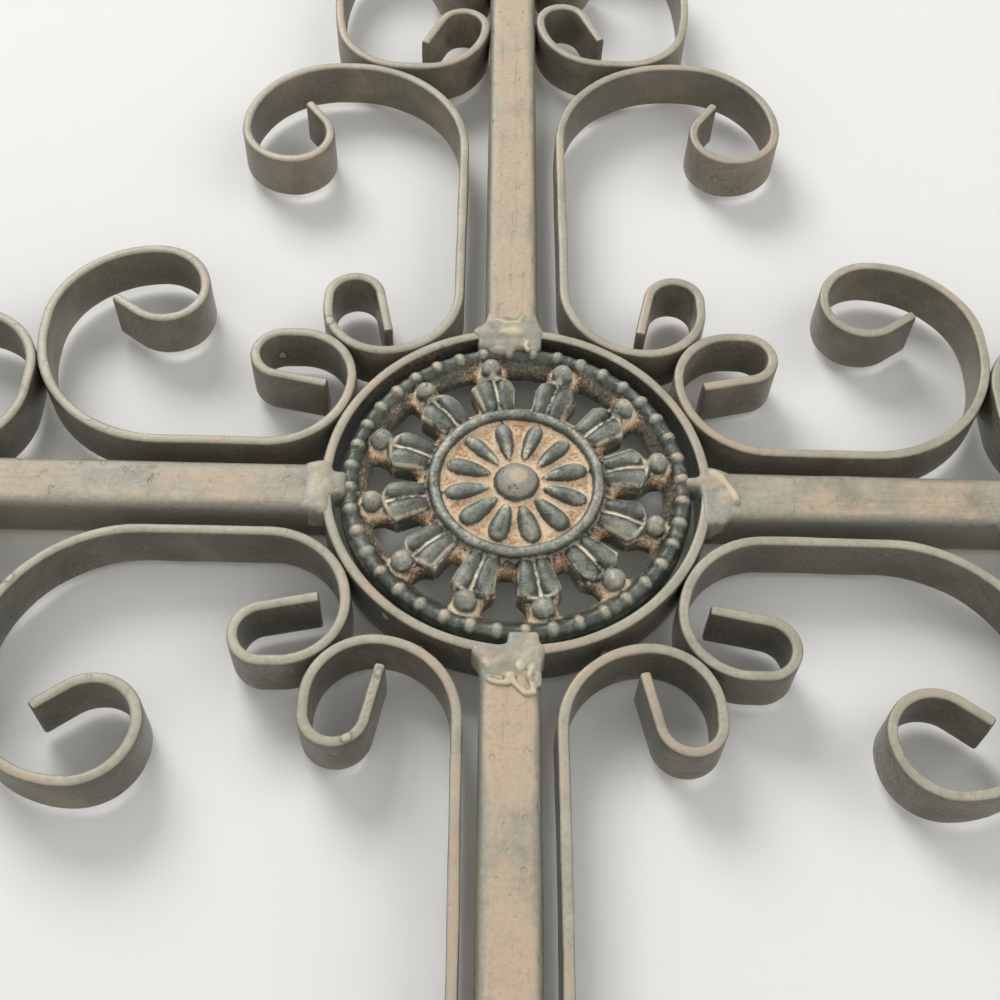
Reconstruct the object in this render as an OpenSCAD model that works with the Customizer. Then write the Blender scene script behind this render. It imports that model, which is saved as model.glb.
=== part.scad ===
// Wrought iron wall cross: four square bars round a ring, a cast rosette in the ring,
// and flat strip scrolls beside every bar. It hangs upright: +Z up, front towards -Y,
// back plane at Y = 0, origin on the back of the upper bar where it is fixed to the wall.

/* [Overall] */
// Reach of the upper bar, from the centre of the ring to its tip
top_reach = 262; // [240:1:340]
// Reach of each side bar, from the centre of the ring to its tip
side_reach = 232; // [215:1:340]
// Reach of the lower bar, from the centre of the ring to its tip
bottom_reach = 400; // [260:1:520]
// Height of the fixing point above the centre of the ring
hang_height = 120; // [90:1:160]

/* [Bars] */
// Width and depth of the square bar, and depth of every strip
bar_size = 16; // [12:0.5:20]
// Radius of the bar's worn long edges
bar_round = 2.5; // [1:0.25:3.5]
// Sideways offset of the upright bars from the centre of the ring
upright_shift = -1.5; // [-3:0.5:3]
// How far the side bars sit below the centre of the ring
crossbar_drop = 3.5; // [0:0.5:5]

/* [Strips] */
// Thickness of the scroll strips
strip_thick = 3; // [2:0.25:4]
// Clearance wherever a strip is tacked to its neighbour
tack_gap = 0.3; // [0.2:0.05:0.5]
// Distance of the strips' middle from the axis of the upper bar
top_strip_out = 16; // [14:0.5:20]
// Distance of the strips' middle from the axis of a side bar
side_strip_out = 15; // [13:0.5:20]
// Distance of the strips' middle from the axis of the lower bar
bottom_strip_out = 13.5; // [12.5:0.5:20]

/* [Inner hook of a scroll] */
// Clearance between the ring and the hooks of the lower bar
lower_hook_gap = 3.5; // [0.3:0.1:5]
// Radius of the hook's second bend
hook_radius = 17; // [13:0.5:20]
// Straight between the second bend and the end bend
hook_flat = 4; // [1:0.5:8]
// Radius of the hook's end bend
hook_end_radius = 8; // [6:0.5:10]
// Angle of the hook's end bend
hook_end_turn = 168; // [150:1:180]
// Length of the hook's straight tail
hook_tail = 15; // [8:1:20]

/* [Outer curl of a scroll] */
// Radius of the curl's first bend
curl_radius = 39; // [34:1:46]
// Straight between the first and second bends
curl_flat = 4; // [1:0.5:8]
// Radius of the curl's second bend
curl_second = 30; // [26:1:34]
// Radius of the curl's third bend
curl_third = 16; // [13:0.5:18]
// Radius of the curl's last bend
curl_last = 12; // [9:0.5:13]
// Angle of the curl's last bend
curl_last_turn = 126; // [90:1:140]
// Length of the curl's straight tail
curl_tail = 9; // [4:1:14]
// How much further out the upper bar's right-hand curl and end scroll sit
right_rise = 4; // [0:0.5:8]

/* [End scroll] */
// Radius of the two bends that rest on the big curl
end_radius = 22; // [18:0.5:25]
// Straight between those two bends
end_flat = 7; // [2:0.5:12]
// Radius of the long outer back
end_back_radius = 90; // [70:1:140]
// Outward lean where the back begins
end_lean = 12; // [6:1:16]
// Radius of the bend above the back
end_top_radius = 26; // [20:1:32]
// Angle of the tight bend beside the bar
end_hook_turn = 156; // [140:1:175]
// Length of the straight tail next to the big curl
end_tail = 14; // [6:1:16]
// Length of the straight tail next to the tip
end_tip_tail = 10; // [4:1:14]
// Length of bar beyond the end scrolls
tip_past = 12; // [4:1:30]

/* [Ring] */
// Outer radius of the ring
ring_radius = 55; // [50:0.5:66]
// Thickness of the ring
ring_thick = 3; // [2:0.25:4]
// Gap between the ring and the rosette
rosette_gap = 2; // [1:0.25:3]
// Width of the weld metal that bridges the gap at each bar
weld_width = 10; // [5:0.5:14]
// Height of that weld metal
weld_height = 4; // [2:0.5:5]

/* [Rosette] */
// Height of the rosette's back above the back plane
rosette_back = 6; // [2:0.5:7]
// Thickness of the rosette's plate between the windows
plate_thick = 5; // [3:0.5:6]
// Number of spokes, windows and petals
spoke_count = 12; // [8:1:14]
// Turn of the first spoke above the side bar
spoke_turn = 10.5; // [-15:0.5:15]
// Radius of the rim's round edge
rim_round = 3.2; // [2.5:0.1:3.6]
// Width of the sloping flange inside the rim
flange_width = 2.1; // [1:0.1:3]
// Radius of the balls at the spoke ends
ball_radius = 3.3; // [2.5:0.1:3.6]
// Outer radius of the hub's ring
hub_radius = 25.2; // [22:0.2:27]
// Radius of the hub ring's round section
hub_round = 1.9; // [1.4:0.1:2.2]
// Width of the solid collar outside the hub's ring
collar_width = 2.9; // [2:0.1:4]
// Width of a window at its narrow end
window_width = 3.8; // [3:0.1:5]
// How much wider a window is on each side at its rim end
window_flare = 3; // [2:0.1:3.6]
// Radius of the centre boss
boss_radius = 6.4; // [5:0.1:7]
// Greatest half width of a petal
petal_round = 2.3; // [1.6:0.1:2.6]
// Half width of each of the two lobes of a spoke
lobe_round = 3; // [2.2:0.1:3.2]

/* [Hidden] */
bend_step = 10;
corner_step = 30;
fine = 64;
cast_fine = 60;
relief_fine = 10;
join = 0.5;

ring_inner = ring_radius - ring_thick;
rosette_radius = ring_inner - rosette_gap;
front = bar_size;

// Offsets from the axis of a bar to the strip that is tacked to its flank
flank_out = bar_size / 2 + tack_gap + strip_thick / 2;

// Heights on the rosette, from the back plane
plate_top = rosette_back + plate_thick;
rim_level = plate_top + 1;
hub_level = front - 1.3;
dish_rise = 1;
boss_top = front + 2.5;
lobe_level = plate_top + 0.8;
ball_level = front - 0.4;

// Radii on the rosette, from the rim inwards and from the hub outwards
rim_at = rosette_radius - rim_round;
window_outer = rosette_radius - 2 * rim_round - flange_width;
window_inner = hub_radius + collar_width;
ball_at = window_outer - 0.5;
hub_ring_at = hub_radius - hub_round;
petal_outer = hub_ring_at - hub_round - 1.5;
petal_inner = boss_radius + 0.6;
lobe_inner = hub_radius - join;
lobe_outer = ball_at - ball_radius - 0.3;
rib_half = 0.6;

// The boss is the cap of this larger sphere
boss_sphere = boss_radius * 1.3;

// ---- Arms: a direction of 90 is up, 270 down, 180 left and 0 right ----

UP = 90;
DOWN = 270;
LEFT = 180;
RIGHT = 0;

function reach(dir) = dir == UP ? top_reach : dir == DOWN ? bottom_reach : side_reach;
function strip_out(dir) =
  dir == UP ? top_strip_out : dir == DOWN ? bottom_strip_out : side_strip_out;
function axis_shift(dir) =
  dir == UP || dir == DOWN ? [upright_shift, 0] : [0, -crossbar_drop];

// Unit vector from the arm's axis to the side that s names, 1 or -1
function outward(dir, s) = s * [sin(dir), -cos(dir)];
// Distance of that side's strip from the centre of the ring, across the arm
function strip_from_centre(dir, s) = strip_out(dir) + axis_shift(dir) * outward(dir, s);
// The arm that the side faces
function next_arm(dir, s) = (dir - 90 * s + 360) % 360;

// ---- Bent strips: a route of straight runs and bends ----

function run(length) = [length, 0, 0];
function bend(radius, angle) = [0, radius, angle];

// A pose is x, y and heading. side is 1 where the bends turn left and -1 where right.
function ahead(p, d) = [p[0] + d * cos(p[2]), p[1] + d * sin(p[2]), p[2]];
function round_bend(p, r, a, side) =
  let (h = p[2] + side * a)
  [p[0] + side * r * (sin(h) - sin(p[2])), p[1] - side * r * (cos(h) - cos(p[2])), h];
function move_poses(p, move, side) =
  move[1] == 0
    ? [ahead(p, move[0])]
    : let (steps = ceil(move[2] / bend_step))
      [for (i = [1 : steps]) round_bend(p, move[1], move[2] * i / steps, side)];
function walk(p, moves, side, i = 0) =
  i == len(moves)
    ? []
    : let (here = move_poses(p, moves[i], side))
      concat(here, walk(here[len(here) - 1], moves, side, i + 1));

// The same poses walked the other way
function turned_back(poses) =
  [for (i = [len(poses) - 1 : -1 : 0]) [poses[i][0], poses[i][1], poses[i][2] + 180]];

// Points at one side of the route, half a strip's thickness away
function flank(poses, side) =
  [for (p = poses) [p[0] - side * strip_thick / 2 * sin(p[2]),
                    p[1] + side * strip_thick / 2 * cos(p[2])]];
function strip_outline(poses) = concat(flank(poses, 1), flank(turned_back(poses), 1));

// ---- The inner hooks: each meets the ring and the hook of the next arm ----

function ring_gap(dir) = dir == DOWN ? lower_hook_gap : tack_gap;
// Distance along the arm to the first bend's centre, for a first bend of radius r
function hook_along(dir, s, r) =
  sqrt(pow(ring_radius + ring_gap(dir) + strip_thick / 2 + r, 2)
       - pow(strip_from_centre(dir, s) + r, 2));
// Centre of the hook's second bend, across and along the arm from the ring's centre
function second_centre(dir, s, r) =
  [strip_from_centre(dir, s) + r, hook_along(dir, s, r) - r + hook_radius];
// Clear distance to the next arm's hook when both first bends have radius r
function hook_clearance(dir, s, r) =
  let (mine = second_centre(dir, s, r),
       next = second_centre(next_arm(dir, s), -s, r))
  norm(mine - [next[1], next[0]]) - 2 * hook_radius - strip_thick;
// The radius that leaves just the tack's gap, found by halving
function meeting_radius(dir, s, low, high, tries) =
  let (r = (low + high) / 2)
  tries == 0
    ? r
    : hook_clearance(dir, s, r) > tack_gap
      ? meeting_radius(dir, s, r, high, tries - 1)
      : meeting_radius(dir, s, low, r, tries - 1);
function first_radius(dir, s) = meeting_radius(dir, s, bar_size / 2, ring_radius, 40);

// ---- The end scrolls: their distance along the arm comes from the tip ----

// Height of an end scroll above the point where it leaves the bar
end_top_across = flank_out + end_radius + end_flat + end_radius * cos(end_lean);
end_rise = end_radius * sin(end_lean) * -1
  + 2 * end_back_radius * sin(end_lean)
  + end_top_radius * (1 - sin(end_lean));
end_last_radius = end_top_across - end_top_radius * cos(end_lean) - flank_out;
function rise(dir, s) = dir == UP && s == 1 ? right_rise : 0;
function end_along(dir, s) =
  reach(dir) + rise(dir, s) - tip_past - strip_thick / 2 - end_rise;

// Distance along the arm to the big curl's centre, so that the end scroll rests on it
function curl_along(dir, s) =
  end_along(dir, s)
  - sqrt(pow(curl_radius + end_radius + strip_thick + tack_gap, 2)
         - pow(strip_out(dir) + curl_radius - flank_out - end_radius - end_flat, 2));

// Across and along one arm, strip middle line of a side scroll
function scroll_poses(dir, s) =
  let (r = first_radius(dir, s),
       begin = hook_along(dir, s, r),
       hook = walk([strip_out(dir), begin, 270],
                   [bend(r, 90), bend(hook_radius, 90), run(hook_flat),
                    bend(hook_end_radius, hook_end_turn), run(hook_tail)], 1),
       curl = walk([strip_out(dir), begin, 90],
                   [run(curl_along(dir, s) - begin), bend(curl_radius, 90), run(curl_flat),
                    bend(curl_second, 90), bend(curl_third, 90),
                    bend(curl_last, curl_last_turn), run(curl_tail)], -1))
  concat(turned_back(hook), [[strip_out(dir), begin, 90]], curl);

// Across and along one arm, strip middle line of an end scroll
function end_poses(dir, s) =
  let (begin = end_along(dir, s),
       hook = walk([flank_out, begin, 90],
                   [bend(hook_end_radius, end_hook_turn), run(end_tail)], -1),
       back = walk([flank_out, begin, 270],
                   [bend(end_radius, 90), run(end_flat), bend(end_radius, 90 - end_lean),
                    bend(end_back_radius, 2 * end_lean), bend(end_top_radius, 90 - end_lean),
                    bend(end_last_radius, 90), bend(hook_end_radius, end_hook_turn),
                    run(end_tip_tail)], 1))
  concat(turned_back(hook), [[flank_out, begin, 270]], back);

// ---- Placing: work is drawn lying flat, front upwards, centre of the ring at 0 ----

module hung() {
  rotate([90, 0, 0]) translate([0, -hang_height, 0]) children();
}

// Children are drawn across (x) and along (y) an arm, x outwards on side s
module on_arm(dir, s) {
  translate(axis_shift(dir)) rotate(dir - 90) mirror([s < 0 ? 1 : 0, 0, 0]) children();
}

// ---- Pieces ----

// Square bar with round long edges, butted to the outside of the ring
corner_points = [
  for (q = [0 : 3], a = [0 : corner_step : 90])
    let (c = bar_size / 2 - bar_round, t = 90 * q + a)
    [c * sign(cos(90 * q + 45)) + bar_round * cos(t),
     c * sign(sin(90 * q + 45)) + bar_round * sin(t)]
];

module bar(dir) {
  color("tan") hung() difference() {
    on_arm(dir, 1)
      translate([0, ring_inner, bar_size / 2]) rotate([-90, 0, 0])
        linear_extrude(reach(dir) - ring_inner) polygon(corner_points);
    translate([0, 0, -join]) cylinder(r = ring_radius, h = bar_size + 2 * join, $fn = fine);
  }
}

module strip(dir, s, poses) {
  color("gray") hung() on_arm(dir, s)
    linear_extrude(bar_size) polygon(strip_outline(poses));
}

module scroll(dir, s) {
  strip(dir, s, scroll_poses(dir, s));
}

module end_scroll(dir, s) {
  strip(dir, s, end_poses(dir, s));
}

module ring_band(outer, inner, low, high) {
  translate([0, 0, low]) difference() {
    cylinder(r = outer, h = high - low, $fn = fine);
    translate([0, 0, -join]) cylinder(r = inner, h = high - low + 2 * join, $fn = fine);
  }
}

// Weld metal across the gap, one lump where each bar meets the ring
module weld_bridge(dir) {
  intersection() {
    ring_band(ring_inner + join, rosette_radius, rim_level - weld_height, rim_level);
    on_arm(dir, 1) translate([-weld_width / 2, rosette_radius - 5, 0])
      cube([weld_width, 10, front]);
  }
}

module centre_ring() {
  color("dimgray") hung() union() {
    ring_band(ring_radius, ring_inner, 0, bar_size);
    for (dir = [UP, DOWN, LEFT, RIGHT]) weld_bridge(dir);
  }
}

module around(turn = 0) {
  for (i = [0 : spoke_count - 1])
    rotate(spoke_turn + (i + turn) * 360 / spoke_count) children();
}

// Body of the casting: plate, rim, hub dish and boss as turned profiles
module rosette_body() {
  rotate_extrude($fn = cast_fine) {
    polygon([
      [0, rosette_back],
      [rosette_radius, rosette_back],
      [rosette_radius, rim_level],
      [rim_at - rim_round, rim_level],
      [window_outer, plate_top],
      [hub_radius, plate_top],
      [hub_radius - join, hub_level],
      [hub_ring_at - hub_round, hub_level],
      [boss_radius, hub_level + dish_rise],
      [0, hub_level + dish_rise]
    ]);
    translate([rim_at, rim_level]) circle(r = rim_round, $fn = relief_fine);
    translate([hub_ring_at, hub_level]) circle(r = hub_round, $fn = relief_fine);
  }
  intersection() {
    translate([0, 0, boss_top - boss_sphere]) sphere(r = boss_sphere, $fn = 2 * relief_fine);
    translate([0, 0, plate_top]) cylinder(r = boss_sphere, h = front, $fn = relief_fine);
  }
}

// Keyhole-shaped window: narrow at the hub, flared at the rim
module window() {
  half = window_width / 2;
  start = window_inner + half;
  shoulder = (window_inner + window_outer) / 2 + join;
  upper = [
    [window_outer + window_flare, half + window_flare],
    [window_outer - window_flare, half + window_flare],
    [shoulder, half + window_flare / 5],
    [start, half]
  ];
  lower = [for (i = [len(upper) - 1 : -1 : 0]) [upper[i][0], -upper[i][1]]];
  intersection() {
    union() {
      translate([start, 0]) circle(r = half, $fn = relief_fine);
      polygon(concat(upper, lower));
    }
    circle(r = window_outer, $fn = cast_fine);
  }
}

// Drop-shaped body along x, swelling from radius small at x0 to radius big at x1
module drop(x0, x1, small, big) {
  hull() {
    translate([x0 + small, 0, 0]) sphere(r = small, $fn = relief_fine / 2);
    translate([x1 - big, 0, 0]) sphere(r = big, $fn = relief_fine);
  }
}

module petals() {
  around() translate([0, 0, hub_level + join / 2])
    drop(petal_inner, petal_outer, petal_round * 0.4, petal_round);
}

// Two swelling lobes side by side, a rib between them and a ball beyond
module spoke_relief() {
  rooted = plate_top - join;
  for (s = [-1, 1])
    translate([0, s * lobe_round * 0.95, lobe_level])
      drop(lobe_inner, lobe_outer, lobe_round * 0.6, lobe_round);
  translate([lobe_inner, -rib_half, rooted])
    cube([ball_at - lobe_inner, 2 * rib_half, lobe_level + lobe_round - rooted]);
  translate([ball_at, 0, rooted])
    cylinder(r = ball_radius * 0.8, h = ball_level - rooted, $fn = relief_fine);
  translate([ball_at, 0, ball_level]) sphere(r = ball_radius, $fn = relief_fine);
}

module cast_rosette() {
  color("slategray") hung() union() {
    difference() {
      rosette_body();
      around(0.5) translate([0, 0, rosette_back - join])
        linear_extrude(front) window();
    }
    petals();
    around() spoke_relief();
  }
}

centre_ring();
cast_rosette();
bar(UP);  // top_bar
bar(DOWN);  // bottom_bar
bar(LEFT);  // left_bar
bar(RIGHT);  // right_bar
scroll(UP, -1);  // top_scroll_left
scroll(UP, 1);  // top_scroll_right
scroll(DOWN, 1);  // bottom_scroll_left
scroll(DOWN, -1);  // bottom_scroll_right
scroll(LEFT, 1);  // left_scroll_upper
scroll(LEFT, -1);  // left_scroll_lower
scroll(RIGHT, -1);  // right_scroll_upper
scroll(RIGHT, 1);  // right_scroll_lower
end_scroll(UP, -1);  // top_end_scroll_left
end_scroll(UP, 1);  // top_end_scroll_right
end_scroll(DOWN, 1);  // bottom_end_scroll_left
end_scroll(DOWN, -1);  // bottom_end_scroll_right
end_scroll(LEFT, 1);  // left_end_scroll_upper
end_scroll(LEFT, -1);  // left_end_scroll_lower
end_scroll(RIGHT, -1);  // right_end_scroll_upper
end_scroll(RIGHT, 1);  // right_end_scroll_lower
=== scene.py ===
"""Looks of a wrought iron wall cross: bent strips, square bars, a cast rosette, welds and worn paint."""

import math
import random

import bmesh
import bpy
import numpy as np
from mathutils import Matrix, Vector, noise


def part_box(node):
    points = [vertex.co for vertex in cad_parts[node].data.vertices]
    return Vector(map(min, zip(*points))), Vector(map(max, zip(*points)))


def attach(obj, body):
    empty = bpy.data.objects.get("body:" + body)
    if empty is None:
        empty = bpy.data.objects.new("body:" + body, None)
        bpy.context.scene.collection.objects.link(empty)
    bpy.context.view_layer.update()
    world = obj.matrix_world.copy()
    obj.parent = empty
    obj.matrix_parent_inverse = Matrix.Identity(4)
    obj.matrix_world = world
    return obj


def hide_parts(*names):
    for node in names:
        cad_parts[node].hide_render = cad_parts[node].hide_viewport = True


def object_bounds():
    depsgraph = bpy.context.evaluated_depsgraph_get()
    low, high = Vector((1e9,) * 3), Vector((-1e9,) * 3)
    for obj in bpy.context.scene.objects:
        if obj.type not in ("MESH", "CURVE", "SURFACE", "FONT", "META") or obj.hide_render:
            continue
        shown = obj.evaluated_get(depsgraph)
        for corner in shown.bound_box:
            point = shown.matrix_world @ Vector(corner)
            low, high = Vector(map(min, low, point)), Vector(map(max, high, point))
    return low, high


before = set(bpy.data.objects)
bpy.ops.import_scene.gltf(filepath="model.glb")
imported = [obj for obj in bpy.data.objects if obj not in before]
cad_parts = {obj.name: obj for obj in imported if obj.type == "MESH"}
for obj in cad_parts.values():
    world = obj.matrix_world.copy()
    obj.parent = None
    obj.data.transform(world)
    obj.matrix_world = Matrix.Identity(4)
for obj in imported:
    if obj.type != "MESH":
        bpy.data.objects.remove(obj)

bl_info = {
    "name": "Wrought iron wall cross",
    "version": (1, 0, 0),
    "blender": (4, 5, 0),
    "location": "View3D > Sidebar > Cross",
    "description": "Builds the bars, scrolls, ring, rosette and welds of a wrought iron wall cross",
    "category": "Add Mesh",
}

MM = 0.001
CAD_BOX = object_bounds()

# ---- Places that the frame gives ----

RING_LOW, RING_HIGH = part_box("centre_ring")
TOP_LOW, TOP_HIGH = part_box("top_bar")
BOTTOM_LOW, BOTTOM_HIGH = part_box("bottom_bar")
RIGHT_LOW, RIGHT_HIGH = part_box("right_bar")
CAST_LOW, CAST_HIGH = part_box("cast_rosette")

RING_RADIUS = (RING_HIGH.x - RING_LOW.x) / 2
RING_Z = (RING_HIGH.z + RING_LOW.z) / 2
DEPTH = RING_HIGH.y - RING_LOW.y
BAR = TOP_HIGH.x - TOP_LOW.x
UPRIGHT_SHIFT = (TOP_HIGH.x + TOP_LOW.x) / 2
CROSSBAR_SHIFT = (RIGHT_HIGH.z + RIGHT_LOW.z) / 2 - RING_Z
CAST_RADIUS = (CAST_HIGH.x - CAST_LOW.x) / 2
CAST_BACK = RING_HIGH.y - CAST_HIGH.y

# Directions of the arms, and how far each bar reaches from the centre of the ring
UP, DOWN, LEFT, RIGHT = 90, 270, 180, 0
REACH = {
    UP: TOP_HIGH.z - RING_Z,
    DOWN: RING_Z - BOTTOM_LOW.z,
    LEFT: RIGHT_HIGH.x,
    RIGHT: RIGHT_HIGH.x,
}
ARM_NAMES = {UP: "top", DOWN: "bottom", LEFT: "left", RIGHT: "right"}


def side_name(arm, side):
    if arm in (UP, DOWN):
        return "right" if (side > 0) == (arm == UP) else "left"
    return "upper" if (side > 0) == (arm == LEFT) else "lower"


# ---- What a user would change ----


def length(name, description, default):
    return bpy.props.FloatProperty(
        name=name, description=description, default=default, unit="LENGTH", subtype="DISTANCE"
    )


def colour(name, description, default):
    return bpy.props.FloatVectorProperty(
        name=name, description=description, default=default, subtype="COLOR", size=3, min=0, max=1
    )


def angle(name, description, degrees):
    return bpy.props.FloatProperty(
        name=name, description=description, default=math.radians(degrees), unit="ROTATION", subtype="ANGLE"
    )


class CrossSizes(bpy.types.PropertyGroup):
    """Sizes of the strips and their bends, in metres"""

    strip: length("Strip", "Thickness of the scroll strips", 3 * MM)
    tack: length("Tack gap", "Clearance where a strip is tacked", 0.3 * MM)
    top_out: length("Top strips", "Distance of the upper strips from the bar's axis", 16 * MM)
    side_out: length("Side strips", "Distance of the side strips from the bar's axis", 15 * MM)
    bottom_out: length("Bottom strips", "Distance of the lower strips from the bar's axis", 13.5 * MM)
    lower_gap: length("Lower hook gap", "Clearance between the ring and the lower hooks", 3.5 * MM)
    hook: length("Hook", "Radius of the hook's second bend", 17 * MM)
    hook_flat: length("Hook flat", "Straight before the hook's end bend", 4 * MM)
    hook_end: length("Hook end", "Radius of the hook's end bend", 8 * MM)
    hook_turn: angle("Hook turn", "Angle of the hook's end bend", 168)
    hook_tail: length("Hook tail", "Straight tail of the hook", 15 * MM)
    curl: length("Curl", "Radius of the curl's first bend", 39 * MM)
    curl_flat: length("Curl flat", "Straight after the first bend", 4 * MM)
    curl_second: length("Curl second", "Radius of the curl's second bend", 30 * MM)
    curl_third: length("Curl third", "Radius of the curl's third bend", 16 * MM)
    curl_last: length("Curl last", "Radius of the curl's last bend", 12 * MM)
    curl_turn: angle("Curl turn", "Angle of the curl's last bend", 126)
    curl_tail: length("Curl tail", "Straight tail of the curl", 9 * MM)
    right_rise: length("Right rise", "How much further out the upper right curl sits", 4 * MM)
    end: length("End scroll", "Radius of the two bends on the big curl", 22 * MM)
    end_flat: length("End flat", "Straight between those bends", 7 * MM)
    end_back: length("End back", "Radius of the long outer back", 90 * MM)
    end_lean: angle("End lean", "Outward lean where the back begins", 12)
    end_top: length("End top", "Radius of the bend above the back", 26 * MM)
    end_turn: angle("End turn", "Angle of the tight bend beside the bar", 156)
    end_tail: length("End tail", "Straight tail next to the big curl", 14 * MM)
    end_tip: length("End tip", "Straight tail next to the tip", 10 * MM)
    tip_past: length("Tip", "Length of bar beyond the end scrolls", 12 * MM)
    bar_round: length("Bar edge", "Radius of the bar's worn long edges", 2.5 * MM)
    strip_round: length("Strip edge", "Radius of the strips' edges", 0.95 * MM)


class CrossFinish(bpy.types.PropertyGroup):
    """Colours of the paint, dust and dirt"""

    bar_dust: colour("Bar dust", "Tan bloom on the front of the bars", (0.52, 0.395, 0.275))
    bar_paint: colour("Bar paint", "Grey-green paint on the bars' edges", (0.325, 0.305, 0.23))
    strip_front: colour("Strip front", "Paint on the strips' front edges", (0.385, 0.362, 0.275))
    # Dark flat sides of the strips and the ring, partly paint and partly painted shade
    strip_side_and_shade: colour("Strip side", "Paint on the strips' flat sides", (0.092, 0.085, 0.062))
    # Also stands for painted light on the upper strips' sides
    strip_bloom_and_light: colour("Strip bloom", "Dusty patches on the strips' flat sides", (0.26, 0.215, 0.155))
    strip_grit: colour("Strip grit", "Pale grit that clings to the strips", (0.27, 0.24, 0.175))
    strip_dust: colour("Strip dust", "Pinkish dust on the strips", (0.47, 0.36, 0.26))
    weld_paint: colour("Weld paint", "Grey-green paint over the welds", (0.30, 0.29, 0.225))
    # Partly wear and partly painted highlight on the tops of the welds
    weld_edge_and_highlight: colour("Weld wear", "Cream wear on the runs of weld", (0.66, 0.55, 0.37))
    cast_paint: colour("Casting paint", "Slate green coat of the casting", (0.074, 0.083, 0.066))
    cast_rubbed: colour("Casting rubbed", "Paler coat on what stands proud", (0.315, 0.328, 0.27))
    cast_dirt: colour("Casting dirt", "Ochre dirt in the recesses", (0.44, 0.25, 0.125))
    cast_sand: colour("Casting sand", "Paler sandy dirt", (0.80, 0.55, 0.33))
    cast_boss: colour("Casting boss", "Rubbed paint on the boss in the middle", (0.30, 0.295, 0.24))
    cast_edge: colour("Casting edges", "Cream wear on ridges and in grooves", (0.78, 0.69, 0.51))
    cast_tip: colour("Casting tips", "Tan where the beads are rubbed", (0.55, 0.42, 0.29))


def sizes():
    return bpy.context.scene.cross_sizes


def finish():
    return bpy.context.scene.cross_finish


# ---- Hand work shared by all pieces ----


def clear_selection():
    if bpy.context.mode != "OBJECT":
        bpy.ops.object.mode_set(mode="OBJECT")
    bpy.ops.object.select_all(action="DESELECT")


def pick(*pieces):
    clear_selection()
    for piece in pieces:
        piece.select_set(True)
    bpy.context.view_layer.objects.active = pieces[0]


def enter_edit(mode="VERT"):
    bpy.ops.object.mode_set(mode="EDIT")
    bpy.ops.mesh.select_mode(type=mode)


def apply_place(piece):
    pick(piece)
    bpy.ops.object.transform_apply(location=True, rotation=True, scale=True)


def stand_up(piece):
    """Work is drawn lying flat, front upwards, centre of the ring at 0. This hangs it in its place."""
    piece.rotation_euler = (math.pi / 2, 0, 0)
    piece.location = (0, RING_HIGH.y, RING_Z)
    apply_place(piece)


def apply_modifier(piece, kind, **values):
    pick(piece)
    modifier = piece.modifiers.new(kind.title(), kind)
    for key, value in values.items():
        setattr(modifier, key, value)
    bpy.ops.object.modifier_apply(modifier=modifier.name)


def tidy_normals(piece):
    pick(piece)
    enter_edit()
    bpy.ops.mesh.select_all(action="SELECT")
    bpy.ops.mesh.remove_doubles(threshold=0.02 * MM)
    bpy.ops.mesh.normals_make_consistent(inside=False)
    bpy.ops.object.mode_set(mode="OBJECT")


def smooth_shade(piece, degrees=40):
    pick(piece)
    bpy.ops.object.shade_smooth_by_angle(angle=math.radians(degrees))


def unevenness(piece, scale, strength):
    """Slight swell and hollow of hammered and hand-painted iron."""
    texture = bpy.data.textures.new("hammered", "CLOUDS")
    texture.noise_scale = scale
    texture.noise_depth = 2
    apply_modifier(
        piece, "DISPLACE", texture=texture, texture_coords="LOCAL", strength=strength, mid_level=0.5
    )


def wobble(piece, scale, amount):
    """Bends the whole section sideways a little, as a strip bent by hand wanders."""
    for vertex in piece.data.vertices:
        place = Vector((vertex.co.x, vertex.co.y, 0)) / scale
        shift = noise.noise_vector(place)
        vertex.co.x += shift.x * amount
        vertex.co.y += shift.y * amount


def finish_piece(piece, name, node, material):
    piece.name = name
    piece.data.name = name
    piece.data.materials.clear()
    piece.data.materials.append(material)
    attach(piece, "root")
    if node:
        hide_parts(node)
    clear_selection()


# ---- Routes of bars and strips: a pose is place, heading and turning hand ----

RUN_STEP = 4 * MM
BEND_STEP = math.radians(5)
RING_STEPS = 160
QUARTER = math.pi / 2


class Arm:
    """Places on one side of one arm, across and along it, in the flat drawing."""

    def __init__(self, direction, side):
        turn = math.radians(direction)
        self.side = side
        self.turn = turn
        self.along = Vector((math.cos(turn), math.sin(turn), 0))
        self.out = Vector((math.sin(turn), -math.cos(turn), 0)) * side
        upright = direction in (UP, DOWN)
        self.axis = Vector((UPRIGHT_SHIFT, 0, 0)) if upright else Vector((0, CROSSBAR_SHIFT, 0))

    def place(self, across, along):
        return self.axis + self.out * across + self.along * along

    def heading(self, degrees):
        """World heading of a heading drawn with 0 outwards and 90 along the arm."""
        angle_here = math.radians(degrees)
        way = self.out * math.cos(angle_here) + self.along * math.sin(angle_here)
        return math.atan2(way.y, way.x)


def add_section(name, place, heading, width, depth, corner, cuts):
    """Open loop of edges, a rounded rectangle square to the heading, standing on the back plane."""
    clear_selection()
    bpy.ops.mesh.primitive_plane_add(
        size=1, location=(place.x, place.y, depth / 2), rotation=(math.pi / 2, 0, heading + math.pi / 2)
    )
    piece = bpy.context.active_object
    piece.name = name
    piece.scale = (width, depth, 1)
    apply_place(piece)
    enter_edit()
    bpy.ops.mesh.select_all(action="SELECT")
    bpy.ops.mesh.bevel(offset=corner, segments=3, affect="VERTICES")
    bpy.ops.mesh.select_all(action="SELECT")
    bpy.ops.mesh.delete(type="ONLY_FACE")
    bpy.ops.mesh.select_mode(type="EDGE")
    bpy.ops.mesh.select_all(action="DESELECT")
    drawn = bmesh.from_edit_mesh(piece.data)
    for edge in drawn.edges:
        edge.select_set(edge.calc_length() > 3 * corner)
    bmesh.update_edit_mesh(piece.data)
    bpy.ops.mesh.subdivide(number_cuts=cuts)
    bpy.ops.mesh.select_all(action="SELECT")
    return piece


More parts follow.
